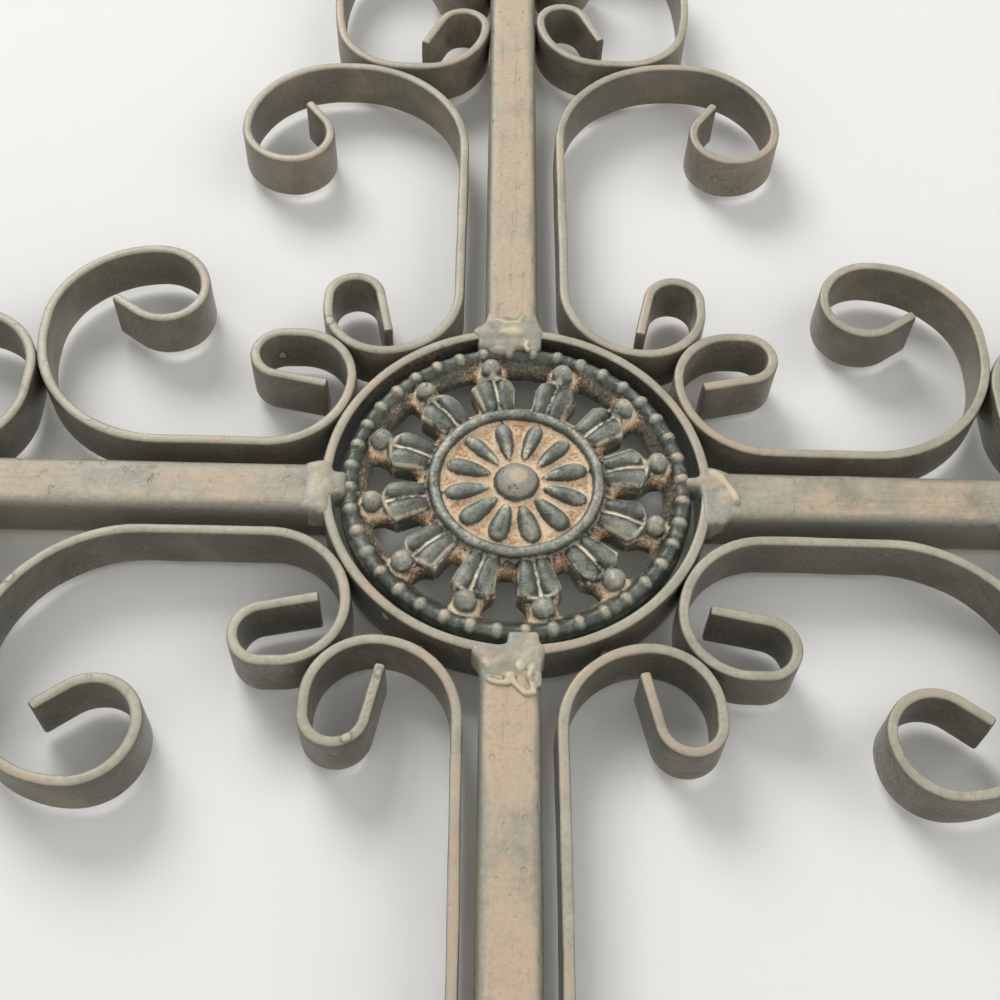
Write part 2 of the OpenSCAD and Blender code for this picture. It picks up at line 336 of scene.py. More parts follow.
def sweep(place, heading, hand, moves, tip):
    """Draws the selected loop out through straights and bends, then closes it with a worn tip."""
    for radius, amount in moves:
        if radius == 0:
            steps = max(1, round(amount / RUN_STEP))
            step = Vector((math.cos(heading), math.sin(heading), 0)) * (amount / steps)
            for _ in range(steps):
                bpy.ops.mesh.extrude_region_move(TRANSFORM_OT_translate={"value": step})
            place = place + step * steps
        else:
            centre = place + Vector((-math.sin(heading), math.cos(heading), 0)) * (hand * radius)
            bpy.ops.mesh.spin(
                steps=max(2, math.ceil(amount / BEND_STEP)),
                angle=-hand * amount,
                center=centre,
                axis=(0, 0, 1),
                use_auto_merge=False,
            )
            place = centre + Matrix.Rotation(hand * amount, 3, "Z") @ (place - centre)
            heading += hand * amount
    ahead = Vector((math.cos(heading), math.sin(heading), 0))
    for share, shrink in ((0.6, 0.88), (0.4, 0.72)):
        bpy.ops.mesh.extrude_region_move(TRANSFORM_OT_translate={"value": ahead * (tip * share)})
        bpy.ops.transform.resize(
            value=(shrink, shrink, (1 + shrink) / 2 + 0.06),
            center_override=selected_middle(),
        )
    bpy.ops.mesh.edge_face_add()
    return place, heading


def spin_round(steps):
    """Spins the selected outline once round the axis of the ring."""
    bpy.ops.mesh.spin(
        steps=steps, angle=2 * math.pi, center=(0, 0, 0), axis=(0, 0, 1), use_auto_merge=False
    )


def selected_middle():
    drawn = bmesh.from_edit_mesh(bpy.context.active_object.data)
    chosen = [vertex.co for vertex in drawn.verts if vertex.select]
    return sum(chosen, Vector()) / len(chosen)


def pick_open_end():
    bpy.ops.mesh.select_all(action="DESELECT")
    bpy.ops.mesh.select_mode(type="EDGE")
    bpy.ops.mesh.select_non_manifold()


def run(amount):
    return (0, amount)


def bend(radius, amount):
    return (radius, amount)


# ---- The hooks meet the ring and the hook of the next arm ----


def strip_out(direction):
    s = sizes()
    return {UP: s.top_out, DOWN: s.bottom_out}.get(direction, s.side_out)


def ring_gap(direction):
    return sizes().lower_gap if direction == DOWN else sizes().tack


def from_centre(direction, side):
    arm = Arm(direction, side)
    return strip_out(direction) + arm.axis.dot(arm.out)


def hook_along(direction, side, radius):
    s = sizes()
    reach = RING_RADIUS + ring_gap(direction) + s.strip / 2 + radius
    return math.sqrt(reach**2 - (from_centre(direction, side) + radius) ** 2)


def second_centre(direction, side, radius):
    """Centre of the hook's second bend, across and along from the middle of the ring."""
    across = from_centre(direction, side) + radius
    return across, hook_along(direction, side, radius) - radius + sizes().hook


def hook_clearance(direction, side, radius):
    """Room between this hook and the next arm's, were both drawn with the given first bend."""
    s = sizes()
    mine = second_centre(direction, side, radius)
    other = second_centre((direction - 90 * side) % 360, -side, radius)
    return math.hypot(mine[0] - other[1], mine[1] - other[0]) - 2 * s.hook - s.strip


def meeting_radius(direction, side):
    """First bend of a hook that leaves just the tack's gap to its neighbour, found by halving."""
    low, high = BAR / 2, RING_RADIUS
    for _ in range(40):
        middle = (low + high) / 2
        if hook_clearance(direction, side, middle) > sizes().tack:
            low = middle
        else:
            high = middle
    return (low + high) / 2


# ---- The end scrolls: their distance along the arm comes from the tip ----


def flank_out():
    s = sizes()
    return BAR / 2 + s.tack + s.strip / 2


def end_rise():
    s = sizes()
    lean = math.sin(s.end_lean)
    return -s.end * lean + 2 * s.end_back * lean + s.end_top * (1 - lean)


def end_last_radius():
    s = sizes()
    top = flank_out() + s.end + s.end_flat + s.end * math.cos(s.end_lean)
    return top - s.end_top * math.cos(s.end_lean) - flank_out()


def end_along(direction, side):
    s = sizes()
    rise = s.right_rise if direction == UP and side == 1 else 0
    return REACH[direction] + rise - s.tip_past - s.strip / 2 - end_rise()


def curl_along(direction, side):
    s = sizes()
    reach = s.curl + s.end + s.strip + s.tack
    across = strip_out(direction) + s.curl - flank_out() - s.end - s.end_flat
    return end_along(direction, side) - math.sqrt(reach**2 - across**2)


# ---- Materials: shared effects are node groups, each material sets its own values ----

# Colours that belong to one effect and are not worth a control of their own
# Near-black of the painted shade in the casting's hollows and grooves, and of its pits
SHADE_AND_PIT_BLACK = (0.020, 0.021, 0.016, 1)
# Near-black of the painted shade on the ring's inner wall, towards the casting
RING_GAP_SHADE = (0.020, 0.020, 0.016, 1)
# Painted shade in the creases of the welds
CREASE_SHADE = (0.05, 0.048, 0.036, 1)
CHIP_RIM = (0.05, 0.045, 0.035, 1)
BAR_CHIP = (0.60, 0.53, 0.42, 1)
STRIP_CHIP = (0.44, 0.39, 0.30, 1)
BAR_STREAK = (0.20, 0.18, 0.13, 1)
BAR_EDGE = (0.15, 0.152, 0.115, 1)

# How much of a bar the tan bloom covers: the noise values where it begins and is full
UPRIGHT_BLOOM = (0.22, 0.48)
CROSSBAR_BLOOM = (0.36, 0.64)
STREAK_SQUEEZE = 0.07


class Nodes:
    """Places and joins shader nodes in one tree."""

    def __init__(self, tree):
        self.tree = tree
        self.count = 0

    def feed(self, value, socket):
        """Joins what comes from a node to the socket, or writes a plain value on it."""
        if isinstance(value, bpy.types.NodeSocket):
            self.tree.links.new(value, socket)
        else:
            socket.default_value = value

    def add(self, kind, inputs=None, **settings):
        node = self.tree.nodes.new(kind)
        node.location = (200 * self.count, 0)
        self.count += 1
        for key, value in settings.items():
            setattr(node, key, value)
        for key, value in (inputs or {}).items():
            self.feed(value, node.inputs[key])
        return node

    def math(self, operation, first, second=0.0, clamp=False):
        inputs = {0: first, 1: second}
        return self.add("ShaderNodeMath", inputs, operation=operation, use_clamp=clamp).outputs[0]

    def times(self, first, second, clamp=False):
        return self.math("MULTIPLY", first, second, clamp)

    def plus(self, first, *others):
        for other in others:
            first = self.math("ADD", first, other)
        return first

    def minus(self, first, second):
        return self.math("SUBTRACT", first, second)

    def span(self, value, inputs):
        inputs = {"Value": value, **inputs}
        return self.add("ShaderNodeMapRange", inputs, interpolation_type="SMOOTHSTEP").outputs["Result"]

    def ramp(self, value, low, high):
        """0 below low, 1 above high, smooth between. High may be under low."""
        ends = (0.0, 1.0) if low < high else (1.0, 0.0)
        low, high = min(low, high), max(low, high)
        return self.span(value, {"From Min": low, "From Max": high, "To Min": ends[0], "To Max": ends[1]})

    def mix(self, factor, first, second):
        node = self.add("ShaderNodeMix", data_type="RGBA", clamp_factor=True)
        colours = [socket for socket in node.inputs if socket.type == "RGBA"]
        self.feed(factor, node.inputs[0])
        self.feed(first, colours[0])
        self.feed(second, colours[1])
        return [socket for socket in node.outputs if socket.type == "RGBA"][0]

    def over(self, under, colour, mask, strength):
        """Lays a colour over another where the mask is 1, up to the given strength."""
        return self.mix(self.times(mask, strength), under, colour)

    def noise(self, place, scale, detail=3.0, roughness=0.55):
        inputs = {"Vector": place, "Scale": scale, "Detail": detail, "Roughness": roughness}
        return self.add("ShaderNodeTexNoise", inputs).outputs["Fac"]

    def swing(self, place, scale, detail=3.0, roughness=0.55):
        """Noise moved to lie about 0."""
        return self.minus(self.noise(place, scale, detail, roughness), 0.5)

    def parts(self, vector):
        return self.add("ShaderNodeSeparateXYZ", {0: vector}).outputs

    def vector(self, operation, first, second):
        return self.add("ShaderNodeVectorMath", {0: first, 1: second}, operation=operation).outputs

    def facing(self):
        """Y of the surface's normal: -1 where it faces the front."""
        return self.parts(self.add("ShaderNodeNewGeometry").outputs["Normal"])["Y"]

    def attribute(self, name):
        return self.add("ShaderNodeAttribute", attribute_name=name).outputs["Fac"]


def new_group(name, inputs, outputs):
    """A node group with named sockets. Each is a name, a kind and, for inputs, a default."""
    group = bpy.data.node_groups.new(name, "ShaderNodeTree")
    for label, kind, default in inputs:
        socket = group.interface.new_socket(name=label, in_out="INPUT", socket_type="NodeSocket" + kind)
        if default is not None:
            socket.default_value = default
    for label, kind in outputs:
        group.interface.new_socket(name=label, in_out="OUTPUT", socket_type="NodeSocket" + kind)
    nodes = Nodes(group)
    start = nodes.add("NodeGroupInput").outputs
    end = nodes.add("NodeGroupOutput").inputs
    return nodes, start, end


def rgba(value):
    return (value[0], value[1], value[2], 1.0)


def front_dust_group():
    """Dust that settles on what faces the front, broken up by patches and fine specks."""
    nodes, start, end = new_group(
        "Front dust",
        [
            ("Place", "Vector", None),
            ("Clean", "Color", (0.2, 0.2, 0.2, 1)),
            ("Dust", "Color", (0.5, 0.4, 0.3, 1)),
            ("Patch scale", "Float", 30.0),
            ("From", "Float", 0.4),
            ("To", "Float", 0.6),
        ],
        [("Colour", "Color"), ("Mask", "Float")],
    )
    front = nodes.ramp(nodes.facing(), -0.55, -0.97)
    patches = nodes.noise(start["Place"], start["Patch scale"], 4.0, 0.6)
    specks = nodes.noise(start["Place"], 900.0, 2.0, 0.6)
    cover = nodes.span(patches, {"From Min": start["From"], "From Max": start["To"]})
    speckled = nodes.times(cover, nodes.ramp(specks, 0.30, 0.62))
    cover = nodes.plus(nodes.times(cover, 0.6), nodes.times(speckled, 0.4))
    mask = nodes.times(front, cover, clamp=True)
    nodes.feed(nodes.mix(mask, start["Clean"], start["Dust"]), end["Colour"])
    nodes.feed(mask, end["Mask"])
    return nodes.tree


def mottle_group():
    """Uneven brushed paint: broad tone and a fine grain of specks."""
    nodes, start, end = new_group(
        "Paint mottle",
        [("Place", "Vector", None), ("Colour", "Color", (0.2, 0.2, 0.2, 1)), ("Strength", "Float", 0.25)],
        [("Colour", "Color"), ("Grain", "Float")],
    )
    broad = nodes.noise(start["Place"], 60.0, 3.0, 0.6)
    fine = nodes.noise(start["Place"], 650.0, 4.0, 0.7)
    tone = nodes.plus(nodes.times(broad, 0.6), nodes.times(fine, 0.4))
    value = nodes.plus(nodes.times(nodes.minus(tone, 0.5), nodes.times(start["Strength"], 4.0)), 1.0)
    shaded = nodes.add("ShaderNodeHueSaturation", {"Color": start["Colour"], "Value": value})
    nodes.feed(shaded.outputs["Color"], end["Colour"])
    nodes.feed(fine, end["Grain"])
    return nodes.tree


def chips_group():
    """Small chips in the paint that show pale metal or primer, with a dark rim."""
    nodes, start, end = new_group(
        "Paint chips",
        [
            ("Place", "Vector", None),
            ("Colour", "Color", (0.2, 0.2, 0.2, 1)),
            ("Chip", "Color", (0.6, 0.55, 0.45, 1)),
            ("Amount", "Float", 0.03),
        ],
        [("Colour", "Color"), ("Mask", "Float")],
    )
    warp = nodes.swing(start["Place"], 400.0, 2.0)
    cells = {"Vector": start["Place"], "Scale": 140.0}
    spread = nodes.add("ShaderNodeTexVoronoi", cells, feature="F1").outputs
    size = nodes.plus(spread["Distance"], nodes.times(warp, 0.25))
    chosen = nodes.add("ShaderNodeSeparateColor", {0: spread["Color"]}).outputs[0]
    picked = nodes.math("LESS_THAN", chosen, start["Amount"])
    spot = nodes.times(nodes.ramp(size, 0.24, 0.16), picked)
    rim = nodes.times(nodes.ramp(size, 0.36, 0.24), picked)
    darker = nodes.over(start["Colour"], CHIP_RIM, rim, 0.5)
    nodes.feed(nodes.mix(spot, darker, start["Chip"]), end["Colour"])
    nodes.feed(spot, end["Mask"])
    return nodes.tree


def relief_group():
    """Height of brush marks and small pits, for a Bump node."""
    nodes, start, end = new_group(
        "Paint relief",
        [("Place", "Vector", None), ("Grain", "Float", 0.3), ("Pits", "Float", 0.3)],
        [("Height", "Float")],
    )
    fine = nodes.noise(start["Place"], 500.0, 5.0, 0.65)
    broad = nodes.noise(start["Place"], 120.0, 3.0, 0.5)
    pits = nodes.ramp(nodes.noise(start["Place"], 260.0, 2.0, 0.5), 0.36, 0.28)
    height = nodes.plus(nodes.times(fine, start["Grain"]), nodes.times(broad, 0.8))
    nodes.feed(nodes.minus(height, nodes.times(pits, start["Pits"])), end["Height"])
    return nodes.tree


def place_group(nodes, name, make, inputs):
    shared = bpy.data.node_groups.get(name) or make()
    return nodes.add("ShaderNodeGroup", inputs, node_tree=shared).outputs


def mottled(nodes, place, colour, strength):
    inputs = {"Place": place, "Colour": colour, "Strength": strength}
    return place_group(nodes, "Paint mottle", mottle_group, inputs)


def dusted(nodes, place, clean, dust, scale, low, high):
    inputs = {"Place": place, "Clean": clean, "Dust": dust, "Patch scale": scale, "From": low, "To": high}
    return place_group(nodes, "Front dust", front_dust_group, inputs)


def chipped(nodes, place, colour, chip, amount):
    inputs = {"Place": place, "Colour": colour, "Chip": chip, "Amount": amount}
    return place_group(nodes, "Paint chips", chips_group, inputs)["Colour"]


def start_material(name, roughness):
    material = bpy.data.materials.new(name)
    material.use_nodes = True
    nodes = Nodes(material.node_tree)
    shader = material.node_tree.nodes["Principled BSDF"]
    shader.inputs["Roughness"].default_value = roughness
    place = nodes.add("ShaderNodeTexCoord").outputs["Object"]
    return material, nodes, shader, place


def finish_surface(nodes, shader, place, colour, rough, grain, pits, distance, strength):
    """Joins colour, roughness and the relief of the paint to the material's surface."""
    nodes.feed(colour, shader.inputs["Base Color"])
    nodes.feed(rough, shader.inputs["Roughness"])
    relief = place_group(nodes, "Paint relief", relief_group, {"Place": place, "Grain": grain, "Pits": pits})
    inputs = {"Height": relief["Height"], "Distance": distance, "Strength": strength}
    nodes.feed(nodes.add("ShaderNodeBump", inputs).outputs["Normal"], shader.inputs["Normal"])


def bar_material(direction):
    """Tan bloom down the middle of each bar, greyer to its edges; the upright carries more of it."""
    f = finish()
    upright = direction in (UP, DOWN)
    name = "Painted upright" if upright else "Painted crossbar"
    if bpy.data.materials.get(name):
        return bpy.data.materials[name]
    material, nodes, shader, place = start_material(name, 0.5)
    if upright:
        low, high = UPRIGHT_BLOOM
        across = nodes.minus(nodes.parts(place)["X"], UPRIGHT_SHIFT)
        squeeze = (1, 1, STREAK_SQUEEZE)
    else:
        low, high = CROSSBAR_BLOOM
        across = nodes.minus(nodes.parts(place)["Z"], RING_Z + CROSSBAR_SHIFT)
        squeeze = (STREAK_SQUEEZE, 1, 1)
    streaks = nodes.swing(nodes.vector("MULTIPLY", place, squeeze)[0], 420.0, 4.0, 0.7)
    waver = nodes.times(nodes.swing(place, 60.0, 3.0), 4 * MM)
    off = nodes.plus(nodes.math("ABSOLUTE", across), waver)
    border = nodes.times(nodes.ramp(off, 0.28 * BAR, 0.44 * BAR), 0.24)
    border = nodes.plus(border, nodes.times(streaks, 0.30))
    tone = mottled(nodes, place, rgba(f.bar_paint), 0.5)
    bloom = nodes.plus(border, low), nodes.plus(border, high)
    dusty = dusted(nodes, place, tone["Colour"], rgba(f.bar_dust), 42.0, *bloom)
    surface = chipped(nodes, place, dusty["Colour"], BAR_CHIP, 0.018)
    surface = nodes.over(surface, BAR_STREAK, nodes.ramp(streaks, 0.06, 0.24), 0.42)
    rim = nodes.ramp(nodes.plus(off, nodes.times(streaks, 2 * MM)), 0.37 * BAR, 0.49 * BAR)
    surface = nodes.over(surface, BAR_EDGE, rim, 0.7)
    rough = nodes.plus(nodes.times(dusty["Mask"], 0.14), 0.42)
    rough = nodes.plus(rough, nodes.times(nodes.minus(tone["Grain"], 0.5), 0.25))
    finish_surface(nodes, shader, place, surface, rough, 0.9, 0.8, 0.40 * MM, 0.9)
    return material


def strip_material(ring=False):
    """Strips are dark on their flat sides and pale on the front edge, with dust in places. The dark sides
    are partly painted shade, the upper strips' sides carry painted light, and the ring's inner wall painted
    shade.
    """
    f = finish()
    name = "Painted ring" if ring else "Painted strip"
    if bpy.data.materials.get(name):
        return bpy.data.materials[name]
    material, nodes, shader, place = start_material(name, 0.45)
    bloom = nodes.times(nodes.ramp(nodes.noise(place, 38.0, 4.0, 0.65), 0.46, 0.70), 0.42)
    if ring:
        side = nodes.mix(bloom, rgba(f.strip_side_and_shade), rgba(f.strip_bloom_and_light))
        # Painted shade: the ring's inner wall darkened to near-black where it faces the casting across the
        # gap
        flat = nodes.vector("MULTIPLY", place, (1, 0, 1))[0]
        away = nodes.vector("DISTANCE", flat, (0, 0, RING_Z))["Value"]
        strip = sizes().strip
        inside = nodes.ramp(away, RING_RADIUS - 0.6 * strip, RING_RADIUS - 0.95 * strip)
        side = nodes.over(side, RING_GAP_SHADE, inside, 0.75)
    else:
        # Painted light: the strips' flat sides are made paler higher up, where light fell from above, added
        # to their dusty bloom
        upper_painted_light = nodes.ramp(nodes.parts(place)["Z"], RING_Z - 0.4 * RING_RADIUS, RING_Z + 1.8 * RING_RADIUS)
        bloom = nodes.plus(bloom, nodes.times(upper_painted_light, 0.26))
        side = nodes.mix(bloom, rgba(f.strip_side_and_shade), rgba(f.strip_bloom_and_light))
    # Pale paint on the front edges, dark on the flat sides; the sides' darkness is partly paint, partly
    # painted shade
    front = nodes.ramp(nodes.facing(), -0.25, -0.85)
    tone = mottled(nodes, place, nodes.mix(front, side, rgba(f.strip_front)), 0.40)
    grit = nodes.plus(nodes.noise(place, 900.0, 3.0, 0.75), nodes.times(nodes.noise(place, 45.0), 0.5))
    gritty = nodes.over(tone["Colour"], rgba(f.strip_grit), nodes.ramp(grit, 0.76, 1.0), 0.5)
    dusty = dusted(nodes, place, gritty, rgba(f.strip_dust), 34.0, 0.48, 0.68)
    surface = chipped(nodes, place, dusty["Colour"], STRIP_CHIP, 0.014)
    rough = nodes.plus(nodes.times(nodes.minus(tone["Grain"], 0.5), 0.3), 0.40)
    finish_surface(nodes, shader, place, surface, rough, 0.9, 0.7, 0.3 * MM, 0.8)
    return material


# ---- Pieces ----


class CROSS_OT_bars(bpy.types.Operator):
    """Adds the four square bars with worn edges, butted to the ring"""

    bl_idname = "cross.bars"
    bl_label = "Square bars"

    def execute(self, context):
        for direction, name in ARM_NAMES.items():
            arm = Arm(direction, 1)
            begin = RING_RADIUS - 1.2 * MM
            heading = arm.heading(90)
            piece = add_section(
                name + "_bar", arm.place(0, begin), heading, BAR, DEPTH, sizes().bar_round, 5
            )
            tip = 1.2 * MM
            sweep(arm.place(0, begin), heading, 1, [run(REACH[direction] - begin - tip)], tip)
            pick_open_end()
            bpy.ops.mesh.edge_face_add()
            tidy_normals(piece)
            unevenness(piece, 12 * MM, 0.35 * MM)
            smooth_shade(piece)
            stand_up(piece)
            finish_piece(piece, name + "_square_bar", name + "_bar", bar_material(direction))
        return {"FINISHED"}


class CROSS_OT_ring(bpy.types.Operator):
    """Adds the ring of flat bar on edge"""

    bl_idname = "cross.ring"
    bl_label = "Ring"

    def execute(self, context):
        s = sizes()
        start = Vector((RING_RADIUS - s.strip / 2, 0, 0))
        piece = add_section("ring", start, QUARTER, s.strip, DEPTH, s.strip_round, 3)
        spin_round(RING_STEPS)
        tidy_normals(piece)
        unevenness(piece, 14 * MM, 0.35 * MM)
        smooth_shade(piece)
        stand_up(piece)
        finish_piece(piece, "ring_band", "centre_ring", strip_material(ring=True))
        return {"FINISHED"}


def bent_strip(name, arm, across, along, first, second, hand, node):
    """One strip drawn both ways from a point on the arm: first along it, then back to the ring."""
    s = sizes()
    place = arm.place(across, along)
    tip = 0.9 * MM
    heading = arm.heading(90)
    piece = add_section(name, place, heading, s.strip, DEPTH, s.strip_round, 3)
    sweep(place, heading, hand * arm.side, first, tip)
    pick_open_end()
    sweep(place, arm.heading(270), -hand * arm.side, second, tip)
    tidy_normals(piece)
    unevenness(piece, 14 * MM, 0.4 * MM)
    wobble(piece, 45 * MM, 0.5 * MM)
    smooth_shade(piece)
    stand_up(piece)
    finish_piece(piece, name, node, strip_material())


class CROSS_OT_scrolls(bpy.types.Operator):
    """Adds the eight strips that hook round the ring and curl beside each bar"""

    bl_idname = "cross.scrolls"
    bl_label = "Scrolls"

    def execute(self, context):
        s = sizes()
        for direction, name in ARM_NAMES.items():
            for side in (-1, 1):
                arm = Arm(direction, side)
                radius = meeting_radius(direction, side)
                begin = hook_along(direction, side, radius)
                hook = [
                    bend(radius, QUARTER),
                    bend(s.hook, QUARTER),
                    run(s.hook_flat),
                    bend(s.hook_end, s.hook_turn),
                    run(s.hook_tail),
                ]
                curl = [
                    run(curl_along(direction, side) - begin),
                    bend(s.curl, QUARTER),
                    run(s.curl_flat),
                    bend(s.curl_second, QUARTER),
                    bend(s.curl_third, QUARTER),
                    bend(s.curl_last, s.curl_turn),
                    run(s.curl_tail),
                ]
                node = f"{name}_scroll_{side_name(direction, side)}"
                bent_strip("bent_" + node, arm, strip_out(direction), begin, curl, hook, -1, node)
        return {"FINISHED"}


class CROSS_OT_end_scrolls(bpy.types.Operator):
    """Adds the eight open C strips between the big curls and the tips of the bars"""

    bl_idname = "cross.end_scrolls"
    bl_label = "End scrolls"

    def execute(self, context):
        s = sizes()
        for direction, name in ARM_NAMES.items():
            for side in (-1, 1):
                arm = Arm(direction, side)
                hook = [bend(s.hook_end, s.end_turn), run(s.end_tail)]
                back = [
                    bend(s.end, QUARTER),
                    run(s.end_flat),
                    bend(s.end, QUARTER - s.end_lean),
                    bend(s.end_back, 2 * s.end_lean),
                    bend(s.end_top, QUARTER - s.end_lean),
                    bend(end_last_radius(), QUARTER),
                    bend(s.hook_end, s.end_turn),
                    run(s.end_tip),
                ]
                node = f"{name}_end_scroll_{side_name(direction, side)}"
                along = end_along(direction, side)
                bent_strip("bent_" + node, arm, flank_out(), along, hook, back, -1, node)
        return {"FINISHED"}


# ---- The cast rosette: sculpted lying flat round the middle of the ring ----

CAST_LEVEL = DEPTH - 5.0 * MM
SPOKES = 12
BEADS = 40
SPOKE_TURN = math.radians(10.5)
BEAD_TURN = math.radians(3)
PETAL_TURN = SPOKE_TURN + math.radians(2.5)
RIM_AT = CAST_RADIUS - 2.9 * MM
BALL_AT = 40.9 * MM
ROOT_AT = 40.6 * MM
PETAL_AT = 14.1 * MM
HUB_RADIUS = 28.1 * MM
DISH_RADIUS = 24.4 * MM
HUB_RING_AT = 23.3 * MM
CAST_VOXEL = 0.55 * MM
TURN_STEPS = 144
SPOKE_SEED = 11
BEAD_SEED = 5

# Outlines in mm, out from the axis and across the spoke: a leaf of the spoke, half of its
# plate, and the line near the leaf's edge where the paint is worn to cream
LEAF_EDGE = (
    (24.0, 4.5), (29.0, 5.2), (32.5, 6.0), (35.0, 6.5), (36.5, 5.0), (37.9, 2.4), (37.2, 0.3), (24.0, 0.3),
)
PLATE_EDGE = (
    (24.0, 4.8), (28.5, 5.2), (32.0, 6.0), (35.0, 6.6), (36.6, 5.4), (38.2, 4.4), (41.0, 4.3), (43.5, 5.4),
)
WORN_EDGE = ((24.0, 4.5), (29.0, 5.2), (32.5, 6.0), (35.0, 6.5), (36.4, 5.2), (36.5, 0.0))


def ball(place, half, swell=0.0, blunt=1.0, turn=None):
    """A lump of iron stretched to its half sizes, fuller towards its outer end by the swell."""
    clear_selection()
    bpy.ops.mesh.primitive_uv_sphere_add(segments=24, ring_count=16, radius=1)
    piece = bpy.context.active_object
    for vertex in piece.data.vertices:
        along = math.copysign(abs(vertex.co.x) ** blunt, vertex.co.x)
        vertex.co.x = along
        vertex.co.y *= 1 + swell * along
        vertex.co.z *= 1 + 0.4 * swell * along
    piece.scale = half
    if turn:
        apply_place(piece)
        piece.rotation_euler = turn
    piece.location = place
    apply_place(piece)
    return piece


def hoop(radius, level, thickness):
    clear_selection()
    bpy.ops.mesh.primitive_torus_add(
        major_radius=radius,
        minor_radius=thickness,
        major_segments=TURN_STEPS,
        minor_segments=20,
        location=(0, 0, level),
    )
    return bpy.context.active_object


def disc(radius, low, high):
    clear_selection()
    bpy.ops.mesh.primitive_cylinder_add(
        vertices=120, radius=radius, depth=high - low, location=(0, 0, (low + high) / 2)
    )
    return bpy.context.active_object


def drawn_loop(points, fill):
    """A closed outline whose corners are moved to the given points, left in edit mode."""
    clear_selection()
    bpy.ops.mesh.primitive_circle_add(vertices=len(points), radius=MM, fill_type=fill)
    piece = bpy.context.active_object
    for vertex, point in zip(piece.data.vertices, points):
        vertex.co = point
    enter_edit()
    bpy.ops.mesh.select_all(action="SELECT")
    return piece


def slab(points, low, high):
    """A flat plate with the given outline."""
    piece = drawn_loop([Vector((x, y, low)) for x, y in points], "NGON")
    bpy.ops.mesh.extrude_region_move(TRANSFORM_OT_translate={"value": (0, 0, high - low)})
    tidy_normals(piece)
    return piece


def turned(points):
    """A section of radius and height pairs, spun round the axis of the ring."""
    piece = drawn_loop([Vector((radius, 0, height)) for radius, height in points], "NOTHING")
    spin_round(TURN_STEPS)
    tidy_normals(piece)
    return piece


def joined(pieces):
    pick(*pieces)
    bpy.ops.object.join()
    return bpy.context.active_object


def turned_copies(piece, count, first):
    """Equal copies round the axis, joined into one mesh in place of the piece."""
    copies = []
    for step in range(count):
        copy = piece.copy()
        copy.data = piece.data.copy()
        copy.data.transform(Matrix.Rotation(first + step * 2 * math.pi / count, 4, "Z"))
        bpy.context.scene.collection.objects.link(copy)
        copies.append(copy)
    bpy.data.objects.remove(piece)
    return joined(copies)


def rounded_slab(points, low, high, corner):
    """A plate whose upper edge is worn round."""
    piece = slab(points, low, high)
    enter_edit("EDGE")
    bpy.ops.mesh.select_all(action="DESELECT")
    drawn = bmesh.from_edit_mesh(piece.data)
    for edge in drawn.edges:
        edge.select_set(all(vertex.co.z > high - corner / 10 for vertex in edge.verts))
    bmesh.update_edit_mesh(piece.data)
    bpy.ops.mesh.bevel(offset=corner, segments=3)
    bpy.ops.object.mode_set(mode="OBJECT")
    return piece


def lobe(side, full):
    """One leaf of a spoke: straight beside the groove, square at the shoulder, cut back to the neck."""
    points = [(x * MM, side * y * (1 + 0.5 * (full - 1)) * MM) for x, y in LEAF_EDGE]
    leaf = rounded_slab(points, CAST_BACK, CAST_LEVEL + (2.4 + 0.6 * full) * MM, 0.8 * MM)
    crown = ball(
        ((29.8 + 0.5 * full) * MM, side * 2.75 * MM, CAST_LEVEL + 2.5 * MM),
        (6.9 * MM, 2.5 * MM, 1.75 * full * MM),
        swell=0.3 * full,
        blunt=0.7,
        turn=(side * math.radians(-7), math.radians(-3), side * math.radians(6)),
    )
    return [leaf, crown]


def one_spoke(shape):
    """Plate, two leaf lobes, a collar that parts them from the ball, and the ball on its root."""
    half = [(x * MM, y * MM) for x, y in PLATE_EDGE]
    outline = half + [(x, -y) for x, y in reversed(half)]
    parts = [slab(outline, CAST_BACK, CAST_LEVEL)]
    for side in (-1, 1):
        parts += lobe(side, shape.uniform(0.72, 1.22))
        collar = ball(
            (37.7 * MM, side * 2.3 * MM, CAST_LEVEL + 2.1 * MM),
            (0.65 * MM, 2.8 * MM, 1.3 * MM),
            turn=(side * math.radians(-20), 0, side * math.radians(shape.uniform(20, 32))),
        )
        parts.append(collar)
    size = shape.uniform(0.94, 1.06)
    bulb = ball((BALL_AT, 0, CAST_LEVEL + 3.4 * MM), (3.0 * size * MM, 3.05 * size * MM, 3.3 * MM))
    root = ball((ROOT_AT, 0, CAST_LEVEL + 0.8 * MM), (3.6 * MM, 3.5 * MM, 2.6 * MM))
    return joined(parts + [bulb, root])


def spokes():
    """Twelve spokes, each pressed a little differently into the mould."""
    shape = random.Random(SPOKE_SEED)
    made = []
    for step in range(SPOKES):
        spoke = one_spoke(shape)
        spoke.rotation_euler = (0, 0, SPOKE_TURN + step * 2 * math.pi / SPOKES)
        apply_place(spoke)
        made.append(spoke)
    return joined(made)


def petals():
    """Twelve drops round the boss, fuller towards the bottom of the casting as moulded by hand."""
    drops = []
    for step in range(SPOKES):
        turn = PETAL_TURN + step * 2 * math.pi / SPOKES
        full = 1.0 - 0.12 * math.sin(turn) + 0.05 * math.sin(5 * turn)
        drop = ball(
            (PETAL_AT * math.cos(turn), PETAL_AT * math.sin(turn), DEPTH - 2.2 * MM),
            (6.6 * MM, 2.55 * MM * full, 2.9 * MM),
            swell=0.36,
            blunt=0.8,
            turn=(0, 0, turn + 0.06 * math.sin(3 * turn)),
        )
        drops.append(drop)
    return joined(drops)


